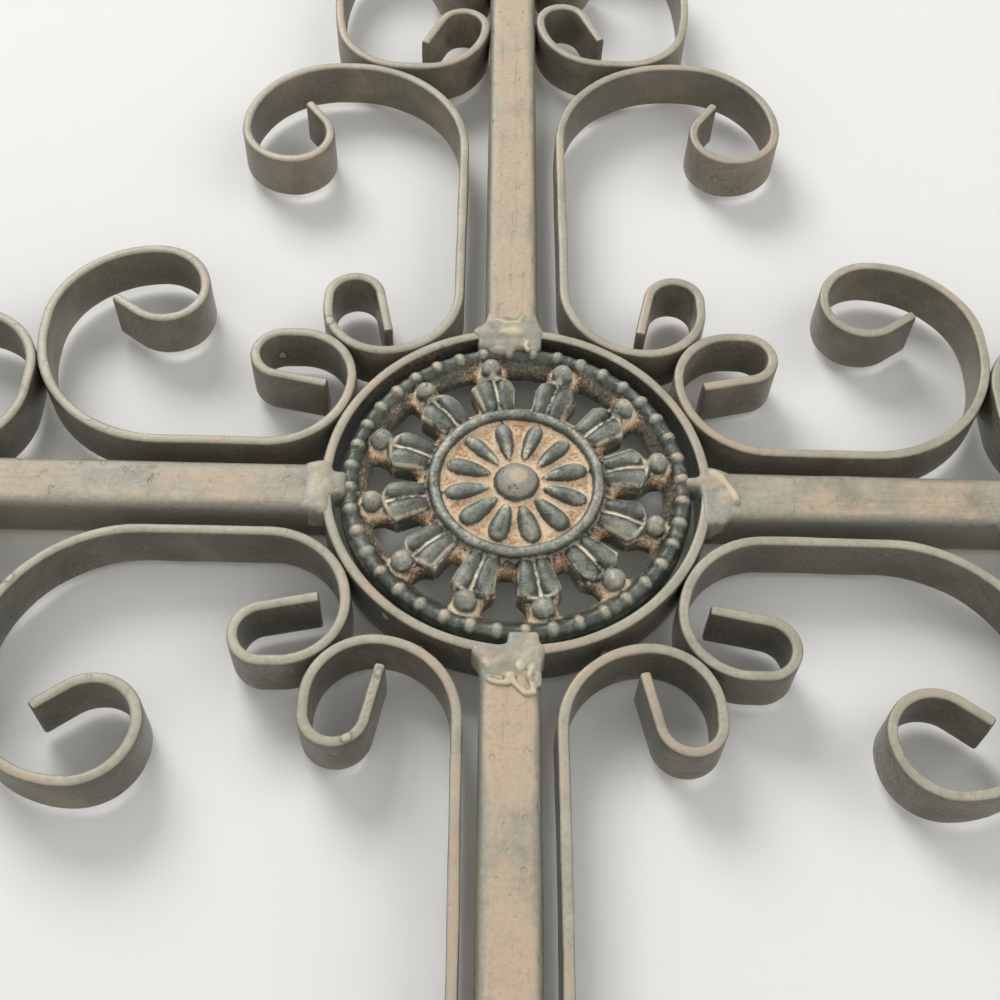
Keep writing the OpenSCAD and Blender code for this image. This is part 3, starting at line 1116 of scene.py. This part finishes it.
def boss():
    """Low dome, a little flat where it has been rubbed."""
    dome = ball((0, 0, DEPTH - 2.4 * MM), (6.6 * MM, 6.6 * MM, 4.1 * MM))
    for vertex in dome.data.vertices:
        vertex.co.z = min(vertex.co.z, DEPTH + 1.2 * MM)
    return dome


def melt(piece, voxel, smoothing):
    """Makes one closed skin round parts that overlap, and softens it."""
    apply_modifier(piece, "REMESH", mode="VOXEL", voxel_size=voxel, adaptivity=0.0)
    apply_modifier(piece, "SMOOTH", factor=0.5, iterations=smoothing)


def flatten_back(piece):
    for vertex in piece.data.vertices:
        vertex.co.z = max(vertex.co.z, CAST_BACK)


# ---- Masks that the materials read: numbers stored on the points of a mesh ----


def vertex_values(mesh, collection, key):
    values = np.empty(len(mesh.vertices) * 3)
    collection.foreach_get(key, values)
    return values.reshape(-1, 3)


def store(mesh, label, values):
    attribute = mesh.attributes.new(label, "FLOAT", "POINT")
    attribute.data.foreach_set("value", np.clip(values, 0, 1).astype(np.float32))


def hollows(mesh, rounds):
    """How deep the surface lies, in mm, under itself when smoothed by each given number of rounds."""
    count = len(mesh.vertices)
    places = vertex_values(mesh, mesh.vertices, "co")
    normals = vertex_values(mesh, mesh.vertex_normals, "vector")
    ends = np.empty(len(mesh.edges) * 2, dtype=np.int64)
    mesh.edges.foreach_get("vertices", ends)
    first, second = ends.reshape(-1, 2).T
    near = np.bincount(first, minlength=count) + np.bincount(second, minlength=count)
    smoothed = places.copy()
    depths = []
    for step in range(1, max(rounds) + 1):
        total = np.empty_like(smoothed)
        for k in range(3):
            total[:, k] = np.bincount(first, smoothed[second, k], count)
            total[:, k] += np.bincount(second, smoothed[first, k], count)
        smoothed = 0.4 * smoothed + 0.6 * total / near[:, None]
        if step in rounds:
            depths.append(((smoothed - places) * normals).sum(axis=1) / MM)
    return depths


def folded(turn, first, count):
    """Angle from the nearest of equal copies round the axis."""
    step = 2 * math.pi / count
    return (turn - first + step / 2) % step - step / 2


def fade(values, low, high):
    """0 below low, 1 above high. High may be under low."""
    return np.clip((values - low) / (high - low), 0, 1)


def mark_casting(piece):
    """Stores where sand lies, where cream lines run and what is hollow, proud or rubbed. Lengths in mm."""
    mesh = piece.data
    x, y, height = vertex_values(mesh, mesh.vertices, "co").T / MM
    out = np.hypot(x, y)
    turn = np.arctan2(y, x)
    level = CAST_LEVEL / MM
    depth = DEPTH / MM
    spoke = folded(turn, SPOKE_TURN, SPOKES)
    along, across = out * np.cos(spoke), np.abs(out * np.sin(spoke))
    from_ball = np.hypot(along - BALL_AT / MM, across)
    from_bead = np.hypot(out - RIM_AT / MM, out * np.sin(folded(turn, BEAD_TURN, BEADS)))
    number = np.round((turn - BEAD_TURN) * BEADS / (2 * math.pi)).astype(int) % BEADS
    rubbed = np.random.default_rng(BEAD_SEED).uniform(0.45, 1.0, BEADS)[number]
    fine, wide = hollows(mesh, (5, 45))

    dish = fade(height, depth - 1.2, depth - 2.0) * fade(out, 22.6, 21.6)
    flange = fade(height, level + 2.7, level + 1.0) * fade(out, 24.5, 25.5) * fade(out, 48.0, 46.5)
    by_ball = flange * fade(from_ball, 6.5, 4.0)
    by_hub = flange * fade(out, 31.0, 28.5)
    sand = 0.98 * dish + 0.26 * flange + 0.40 * by_ball + 0.42 * by_hub

    split = fade(across, 0.55, 0.2) * fade(out, 25.0, 27.0) * fade(out, 38.2, 37.0)
    horseshoe = fade(np.abs(from_ball - 3.45), 0.5, 0.15) * fade(height, level + 3.4, level + 2.2)
    horseshoe *= fade(height, level - 0.6, level + 0.4)
    vee = fade(np.abs(along - 38.1 + 0.34 * across), 0.6, 0.2) * fade(across, 5.4, 4.8)
    width = np.interp(along, *zip(*WORN_EDGE))
    border = fade(np.abs(across - width + 0.35), 0.5, 0.15) * fade(along, 26.0, 27.0)
    border *= fade(height, level + 1.2, level + 2.0)
    lines = np.maximum.reduce([split, 0.85 * horseshoe, 0.9 * vee, 0.8 * border])

    bead_tip = fade(from_bead, 1.6, 0.7) * fade(height, level + 3.2, level + 3.9) * rubbed
    ball_tip = 0.5 * fade(from_ball, 1.6, 0.4) * fade(height, level + 5.6, level + 6.3)
    boss_tip = 1.1 * fade(np.hypot(x - 0.5, y - 0.5), 3.4, 1.2) * fade(height, depth, depth + 1)

    store(mesh, "groove", fine / 0.10)
    store(mesh, "crest", np.clip(-fine / 0.20, 0, 1) * fade(out, 44.5, 43.5))
    # hollow also sets where cast_material paints shade
    store(mesh, "hollow", wide / 0.55)
    store(mesh, "proud", -wide / 0.9)
    store(mesh, "sand", sand * fade(height, 7.0, 9.5))
    store(mesh, "line", lines * fade(height, level - 1.0, level))
    store(mesh, "tips", bead_tip + ball_tip + boss_tip)
    store(mesh, "middle", fade(out, 7.2, 5.0) * fade(height, depth - 1.6, depth - 0.4))


def cast_material():
    """Slate green coat, painted shade in the hollows and grooves, sandy ochre where it is low, cream lines
    in the grooves, rubbed tan tips.
    """
    f = finish()
    material, nodes, shader, place = start_material("Cast rosette", 0.5)
    plus, times, ramp = nodes.plus, nodes.times, nodes.ramp
    cloud = nodes.swing(place, 130.0, 3.0, 0.6)
    specks = nodes.swing(place, 1000.0, 3.0, 0.8)
    grains = nodes.swing(place, 1900.0, 2.0, 0.7)
    groove = nodes.attribute("groove")
    sand = nodes.attribute("sand")

    surface = mottled(nodes, place, rgba(f.cast_paint), 0.55)["Colour"]
    rub = ramp(plus(nodes.attribute("proud"), cloud, times(specks, 1.2)), 0.22, 1.0)
    surface = nodes.mix(rub, surface, rgba(f.cast_rubbed))
    bare = ramp(plus(nodes.attribute("middle"), times(cloud, 1.2), specks), 0.35, 0.95)
    surface = nodes.mix(bare, surface, rgba(f.cast_boss))
    # Painted shade: the casting's hollows and grooves darkened to near-black, where shade falls, broken by
    # specks
    shade = ramp(plus(nodes.attribute("hollow"), times(groove, 0.5), times(specks, 1.8)), 0.04, 0.45)
    surface = nodes.mix(shade, surface, SHADE_AND_PIT_BLACK)
    pits = ramp(plus(specks, times(cloud, 0.4)), -0.10, -0.22)
    surface = nodes.over(surface, SHADE_AND_PIT_BLACK, pits, 0.7)
    cover = ramp(plus(sand, times(cloud, 0.8), times(specks, 0.8), times(grains, 1.6)), 0.18, 0.85)
    sandy = ramp(plus(cloud, times(specks, 1.5)), -0.12, 0.2)
    ochre = nodes.mix(sandy, rgba(f.cast_dirt), rgba(f.cast_sand))
    surface = nodes.over(surface, ochre, cover, 0.95)
    edge = ramp(plus(nodes.attribute("crest"), specks, times(cloud, 0.6)), 0.52, 0.92)
    surface = nodes.over(surface, rgba(f.cast_edge), edge, 0.75)
    crease = ramp(plus(groove, specks, times(cloud, 1.6)), 0.45, 1.0)
    crease = times(crease, plus(times(sand, 0.3), 0.3))
    kept = ramp(plus(cloud, times(specks, 0.6)), -0.17, 0.05)
    drawn = times(plus(crease, times(nodes.attribute("line"), kept)), 0.85, clamp=True)
    surface = nodes.mix(drawn, surface, rgba(f.cast_edge))
    worn = ramp(plus(nodes.attribute("tips"), times(specks, 1.6)), 0.2, 0.8)
    surface = nodes.over(surface, rgba(f.cast_tip), worn, 0.8)
    rough = plus(times(cover, 0.38), times(specks, 0.5), 0.36)
    finish_surface(nodes, shader, place, surface, rough, 1.0, 0.9, 0.35 * MM, 0.9)
    return material


class CROSS_OT_rosette(bpy.types.Operator):
    """Adds the cast rosette: beaded rim, twelve spokes with lobes and balls, hub, petals and boss"""

    bl_idname = "cross.rosette"
    bl_label = "Cast rosette"

    def execute(self, context):
        level = CAST_LEVEL
        rim = turned(
            [
                (CAST_RADIUS - 0.3 * MM, CAST_BACK),
                (CAST_RADIUS, CAST_BACK + 0.4 * MM),
                (CAST_RADIUS, level + 1.2 * MM),
                (RIM_AT - 2.0 * MM, level + 2.2 * MM),
                (CAST_RADIUS - 6.3 * MM, level + 1.0 * MM),
                (CAST_RADIUS - 7.8 * MM, level - 0.9 * MM),
                (CAST_RADIUS - 7.8 * MM, CAST_BACK),
            ]
        )
        cord = hoop(RIM_AT, level + 1.2 * MM, 2.3 * MM)
        bead = ball((RIM_AT, 0, level + 2.0 * MM), (2.5 * MM, 2.2 * MM, 2.5 * MM))
        beads = turned_copies(bead, BEADS, BEAD_TURN)
        hub = disc(HUB_RADIUS, CAST_BACK, level)
        dish = disc(DISH_RADIUS, CAST_BACK + MM, DEPTH - 2.2 * MM)
        hub_ring = hoop(HUB_RING_AT, DEPTH - 1.35 * MM, 1.75 * MM)
        skirt = turned(
            [
                (22.0 * MM, CAST_BACK + MM),
                (22.0 * MM, DEPTH - 2.5 * MM),
                (25.4 * MM, level + 2.0 * MM),
                (28.3 * MM, level + 0.3 * MM),
                (28.3 * MM, CAST_BACK),
            ]
        )
        piece = joined([rim, cord, beads, hub, skirt, dish, hub_ring, spokes(), petals(), boss()])
        melt(piece, CAST_VOXEL, 2)
        unevenness(piece, 3 * MM, 0.25 * MM)
        flatten_back(piece)
        mark_casting(piece)
        pick(piece)
        bpy.ops.object.shade_smooth()
        stand_up(piece)
        finish_piece(piece, "pierced_rosette", "cast_rosette", cast_material())
        return {"FINISHED"}


# ---- Welds: lumps drawn across and along an arm, as the strips are ----

WELD_VOXEL = 0.45 * MM
BEAD_RISE = 0.1
NECK_RISE = 0.1
HIGH_RISE = 0.3

# In mm, across and along an arm. Plate: its two sides at the ring, the two sides of its neck
# and its far end. Beads: a line of points and a radius. Lumps: place, rise and half sizes
WELDS = {
    "top_weld": {
        "direction": UP,
        "plate": (-11.6, 9.6, -10.0, 8.8, 62.0),
        "beads": (
            (((-4.9, 58.0), (-1.3, 56.7), (1.9, 57.2), (3.4, 59.4)), 0.8),
            (((4.6, 49.6), (4.0, 48.0), (4.8, 46.6)), 0.9),
        ),
        "lumps": (
            (6.6, 47.9, -1.4, (1.4, 1.6, 1.4)),
            (-3.0, 47.4, -1.6, (1.5, 4.0, 1.5)),
            (0.5, 53.6, -0.3, (2.6, 6.0, 1.0)),
        ),
    },
    "bottom_weld": {
        "direction": DOWN,
        "plate": (-9.2, 10.4, -7.6, 0.8, 63.5),
        "beads": (
            (((5.6, 62.6), (3.2, 63.3), (1.0, 63.4), (-0.1, 62.0)), 0.8),
            (((-0.1, 62.0), (-1.6, 64.2), (-3.9, 66.2), (-6.1, 66.0)), 0.85),
            (((-6.1, 66.0), (-5.5, 63.4), (-4.8, 60.9), (-6.2, 58.4)), 0.75),
            (((-7.3, 63.6), (-7.3, 60.6)), 0.8),
        ),
        "lumps": (
            (6.6, 58.0, HIGH_RISE, (1.3, 1.2, 0.9)),
            (-2.4, 58.4, HIGH_RISE, (1.6, 1.1, 0.6)),
            (0.2, 61.6, HIGH_RISE, (1.3, 1.3, 0.9)),
        ),
    },
    "left_weld": {
        "direction": LEFT,
        "plate": (-8.9, 8.6, -2.2, 5.2, 60.5),
        "beads": (),
        "lumps": ((0.6, 53.2, -0.4, (2.6, 4.4, 0.9)),),
    },
    "right_weld": {
        "direction": RIGHT,
        "plate": (-9.0, 10.2, -5.7, -2.8, 61.0),
        "beads": (
            (((-6.8, 55.6), (-4.9, 58.0), (-0.2, 61.0), (3.0, 61.7)), 0.95),
            (((1.4, 55.6), (0.4, 57.0), (0.7, 58.6)), 0.65),
        ),
        "lumps": (
            (1.4, 57.6, -0.3, (3.6, 4.6, 1.0)),
            (7.2, 56.6, -1.2, (2.4, 2.6, 1.7)),
        ),
    },
}


def weld_lump(arm, across, along, rise, half):
    """A lump of weld metal on the arm, risen over the front. All in mm."""
    place = arm.place(across * MM, along * MM)
    at = (place.x, place.y, DEPTH + rise * MM)
    return ball(at, [size * MM for size in half], turn=(0, 0, arm.turn))


def bead_row(arm, points, thick):
    """A run of weld metal: small lumps set close together along a bent line."""
    lumps = []
    for (across, along), (across_to, along_to) in zip(points, points[1:]):
        long = math.hypot(across_to - across, along_to - along) * MM
        count = max(1, math.ceil(long / (0.7 * (thick * MM))))
        for step in range(count + 1):
            share = step / count
            here = across + (across_to - across) * share, along + (along_to - along) * share
            lumps.append(weld_lump(arm, *here, BEAD_RISE, (thick, thick, thick)))
    return lumps


def plateau(arm, *sides):
    """Metal run flat over the bar and the ring, thin at its far end, with a neck to the casting."""
    low, high, neck_low, neck_high, end = (side * MM for side in sides)
    half = BAR / 2
    ring = RING_RADIUS
    band = sizes().strip
    over = [
        (-half + 0.6 * MM, end),
        (-half, ring + 3.4 * MM),
        (-half - 0.5 * MM, ring + 1.6 * MM),
        (low, ring - 0.6 * MM),
        (low, ring - band),
        (high, ring - band),
        (high, ring - 0.6 * MM),
        (half + 0.5 * MM, ring + 1.6 * MM),
        (half, ring + 3.4 * MM),
        (half - 0.6 * MM, end),
    ]
    neck = [
        (neck_low - 0.8 * MM, ring - 0.5 * band),
        (neck_low, ring - band - MM),
        (neck_low, CAST_RADIUS - 2.2 * MM),
        (neck_high, CAST_RADIUS - 2.2 * MM),
        (neck_high, ring - band - MM),
        (neck_high + 0.8 * MM, ring - 0.5 * band),
    ]
    foot = 7 * MM
    made = []
    for outline, top in ((over, DEPTH + 0.5 * MM), (neck, DEPTH + NECK_RISE * MM)):
        places = [arm.place(across, along) for across, along in outline]
        made.append(slab([(place.x, place.y) for place in places], foot, top))
    for vertex in made[0].data.vertices:
        if vertex.co.z > DEPTH and (vertex.co - arm.axis).dot(arm.along) > end - MM:
            vertex.co.z = DEPTH - 0.5 * MM
    piece = joined(made)
    melt(piece, WELD_VOXEL, 24)
    return piece


def finish_weld(parts, name):
    piece = joined(parts)
    melt(piece, WELD_VOXEL, 2)
    unevenness(piece, 6 * MM, 0.6 * MM)
    mesh = piece.data
    (fine,) = hollows(mesh, (3,))
    height = vertex_values(mesh, mesh.vertices, "co")[:, 2] / MM
    store(mesh, "groove", fine / 0.10)
    store(mesh, "run", fade(height, DEPTH / MM + 0.45, DEPTH / MM + 0.8))
    pick(piece)
    bpy.ops.object.shade_smooth()
    stand_up(piece)
    finish_piece(piece, name, None, weld_material())


def weld_material():
    """Paint over weld metal, with cream on the runs, partly wear and partly painted highlight, and dark
    specks in the creases as painted shade.
    """
    f = finish()
    name = "Painted weld"
    if bpy.data.materials.get(name):
        return bpy.data.materials[name]
    material, nodes, shader, place = start_material(name, 0.45)
    cloud = nodes.swing(place, 140.0, 3.0, 0.6)
    specks = nodes.swing(place, 900.0, 3.0, 0.7)
    surface = mottled(nodes, place, rgba(f.weld_paint), 0.40)["Colour"]
    surface = nodes.over(surface, rgba(f.bar_dust), nodes.ramp(cloud, -0.05, 0.2), 0.7)
    # Painted shade: creases of the weld darkened, with dark specks
    dark = nodes.ramp(nodes.plus(nodes.attribute("groove"), specks), 0.35, 0.9)
    surface = nodes.over(surface, CREASE_SHADE, dark, 0.7)
    # Cream on the highest runs of weld: partly wear, partly painted highlight
    worn = nodes.times(nodes.attribute("run"), nodes.ramp(cloud, -0.16, 0.0))
    surface = nodes.over(surface, rgba(f.weld_edge_and_highlight), worn, 0.8)
    rough = nodes.plus(nodes.times(specks, 0.4), 0.40)
    finish_surface(nodes, shader, place, surface, rough, 0.8, 0.6, 0.3 * MM, 0.8)
    return material


class CROSS_OT_welds(bpy.types.Operator):
    """Adds the four welds that join each bar to the ring and the casting"""

    bl_idname = "cross.welds"
    bl_label = "Welds"

    def execute(self, context):
        for name, weld in WELDS.items():
            arm = Arm(weld["direction"], 1)
            lumps = []
            for points, thick in weld["beads"]:
                lumps += bead_row(arm, points, thick)
            lumps += [weld_lump(arm, *lump) for lump in weld["lumps"]]
            finish_weld([plateau(arm, *weld["plate"])] + lumps, name)
        return {"FINISHED"}


TACK_HALF = 1.2 * MM
TACK_SUNK = 4.5 * MM


def tack(name, centre, toward, reach, long, sunk=0.0):
    """A small lump between two strips, at the given reach from one bend's centre toward the other."""
    way = (Vector(toward) - Vector(centre)).normalized()
    at = Vector(centre) + way * reach
    turn = (0, 0, math.atan2(way.y, way.x))
    lumps = []
    for depth, half in ((DEPTH - sunk - 4.6 * MM, 1.5), (DEPTH - sunk - 7.5 * MM, 1.3)):
        lumps.append(ball((at.x, at.y, depth), (long, half * MM, 2.4 * MM), turn=turn))
    finish_weld(lumps, name)


class CROSS_OT_tacks(bpy.types.Operator):
    """Adds the small welds where strips meet the ring, the bars and each other"""

    bl_idname = "cross.tacks"
    bl_label = "Tack welds"

    def execute(self, context):
        s = sizes()
        half = s.strip / 2
        for direction, name in ARM_NAMES.items():
            for side in (-1, 1):
                arm = Arm(direction, side)
                place = f"{name}_{side_name(direction, side)}"
                radius = meeting_radius(direction, side)
                gap = ring_gap(direction)
                hook = arm.place(strip_out(direction) + radius, hook_along(direction, side, radius))
                sunk = TACK_SUNK if gap > MM else 0.0
                tack("ring_tack_" + place, (0, 0, 0), hook, RING_RADIUS + gap / 2, gap / 2 + 0.8 * MM, sunk)
                curl = arm.place(strip_out(direction) + s.curl, curl_along(direction, side))
                end = arm.place(flank_out() + s.end + s.end_flat, end_along(direction, side))
                tack("curl_tack_" + place, curl, end, s.curl + half + s.tack / 2, TACK_HALF)
                foot = arm.place(flank_out(), end_along(direction, side))
                axis = arm.place(0, end_along(direction, side))
                tack("bar_tack_" + place, axis, foot, BAR / 2 + s.tack / 2, TACK_HALF)
            here = hook_bend(direction, 1)
            there = hook_bend((direction - 90) % 360, -1)
            tack("hook_tack_" + name, here, there, s.hook + half + s.tack / 2, TACK_HALF)
        return {"FINISHED"}


def hook_bend(direction, side):
    """Centre of the hook's second bend in the flat drawing."""
    radius = meeting_radius(direction, side)
    along = second_centre(direction, side, radius)[1]
    return Arm(direction, side).place(strip_out(direction) + radius, along)


# ---- Stage ----

# How the camera stands to the front of the cross, in lengths of the ring's radius
LENS = 50.83
SENSOR = 36.0
CAMERA_PLACE = Vector((-0.2218, -6.2745, -4.0400))
CAMERA_AHEAD = Vector((0.0193, 0.8370, 0.5468))
CAMERA_UP = Vector((-0.0216, -0.5464, 0.8372))

STAGE_SIZE = 8.0
STAGE_TINT = (0.80, 0.79, 0.77)
STAGE_CLOUD = (0.6, 0.6, 0.6, 1)
WALL_GAP = 3 * MM
FLOOR_GAP = 60 * MM
SKY_TINT = (0.95, 0.96, 1.0, 1)
SKY_STRENGTH = 0.36


def stage_material(name, tint):
    """Pale surface that is open to whoever looks at it from behind."""
    material, nodes, shader, place = start_material(name, 0.8)
    cloud = nodes.noise(place, 3.0, 2.0)
    nodes.feed(nodes.over(rgba(tint), STAGE_CLOUD, cloud, 0.12), shader.inputs["Base Color"])
    shader.inputs["Specular IOR Level"].default_value = 0.1
    behind = nodes.add("ShaderNodeNewGeometry").outputs["Backfacing"]
    seen = nodes.add("ShaderNodeLightPath").outputs
    open_to = nodes.math("MAXIMUM", nodes.times(behind, seen["Is Camera Ray"]), seen["Is Shadow Ray"])
    clear = nodes.add("ShaderNodeBsdfTransparent")
    both = nodes.add("ShaderNodeMixShader", {0: open_to, 1: shader.outputs[0], 2: clear.outputs[0]})
    nodes.feed(both.outputs[0], nodes.tree.nodes["Material Output"].inputs["Surface"])
    return material


def stage_plane(name, place, turn):
    clear_selection()
    bpy.ops.mesh.primitive_plane_add(size=STAGE_SIZE, location=place, rotation=turn)
    piece = bpy.context.active_object
    piece.name = name
    apply_place(piece)
    piece.data.materials.append(stage_material(name, STAGE_TINT))
    clear_selection()


def soft_lamp(name, place, aim, size, power):
    bpy.ops.object.light_add(type="AREA", location=place)
    lamp = bpy.context.active_object
    lamp.name = name
    lamp.data.size = size
    lamp.data.energy = power
    lamp.rotation_euler = (Vector(aim) - Vector(place)).to_track_quat("-Z", "Y").to_euler()
    clear_selection()


class CROSS_OT_stage(bpy.types.Operator):
    """Adds the pale wall and floor, the soft lamps and the camera"""

    bl_idname = "cross.stage"
    bl_label = "Stage"

    def execute(self, context):
        low = CAD_BOX[0]
        middle = Vector((0, 0, RING_Z))
        stage_plane("wall", (0, WALL_GAP, 0), (QUARTER, 0, 0))
        stage_plane("floor", (0, 0, low.z - FLOOR_GAP), (0, 0, 0))
        soft_lamp("key", (-0.9, -1.5, 1.5), middle, 1.2, 40)
        soft_lamp("fill", (1.6, -1.5, 0.0), middle, 1.6, 11)
        soft_lamp("back", (0, 1.8, 0.6), middle, 1.6, 20)
        world = bpy.data.worlds.new("studio")
        context.scene.world = world
        world.use_nodes = True
        sky = world.node_tree.nodes["Background"]
        sky.inputs["Color"].default_value = SKY_TINT
        sky.inputs["Strength"].default_value = SKY_STRENGTH
        camera = bpy.data.cameras.new("camera")
        holder = bpy.data.objects.new("camera", camera)
        context.scene.collection.objects.link(holder)
        camera.lens = LENS
        camera.sensor_width = SENSOR
        camera.clip_start = 0.01
        back = -CAMERA_AHEAD.normalized()
        across = CAMERA_UP.cross(back).normalized()
        up = back.cross(across)
        turn = Matrix((across, up, back)).transposed().to_4x4()
        holder.matrix_world = Matrix.Translation(middle + CAMERA_PLACE * RING_RADIUS) @ turn
        context.scene.camera = holder
        context.scene.view_settings.view_transform = "Standard"
        return {"FINISHED"}


class CROSS_PT_panel(bpy.types.Panel):
    """Lists the pieces of the cross in the sidebar"""

    bl_idname = "CROSS_PT_panel"
    bl_label = "Wrought iron cross"
    bl_space_type = "VIEW_3D"
    bl_region_type = "UI"
    bl_category = "Cross"

    def draw(self, context):
        for step in STEPS:
            self.layout.operator(step.bl_idname)
        for group in (sizes(), finish()):
            for name in group.bl_rna.properties.keys():
                if name not in ("rna_type", "name"):
                    self.layout.prop(group, name)


STEPS = (
    CROSS_OT_stage,
    CROSS_OT_bars,
    CROSS_OT_ring,
    CROSS_OT_scrolls,
    CROSS_OT_end_scrolls,
    CROSS_OT_rosette,
    CROSS_OT_welds,
    CROSS_OT_tacks,
)
CLASSES = (CrossSizes, CrossFinish) + STEPS + (CROSS_PT_panel,)


def register():
    for item in CLASSES:
        bpy.utils.register_class(item)
    bpy.types.Scene.cross_sizes = bpy.props.PointerProperty(type=CrossSizes)
    bpy.types.Scene.cross_finish = bpy.props.PointerProperty(type=CrossFinish)


def unregister():
    del bpy.types.Scene.cross_sizes
    del bpy.types.Scene.cross_finish
    for item in reversed(CLASSES):
        bpy.utils.unregister_class(item)


def main():
    register()
    for step in STEPS:
        group, name = step.bl_idname.split(".")
        getattr(getattr(bpy.ops, group), name)()
    bpy.context.view_layer.update()


if __name__ == "__main__":
    main()
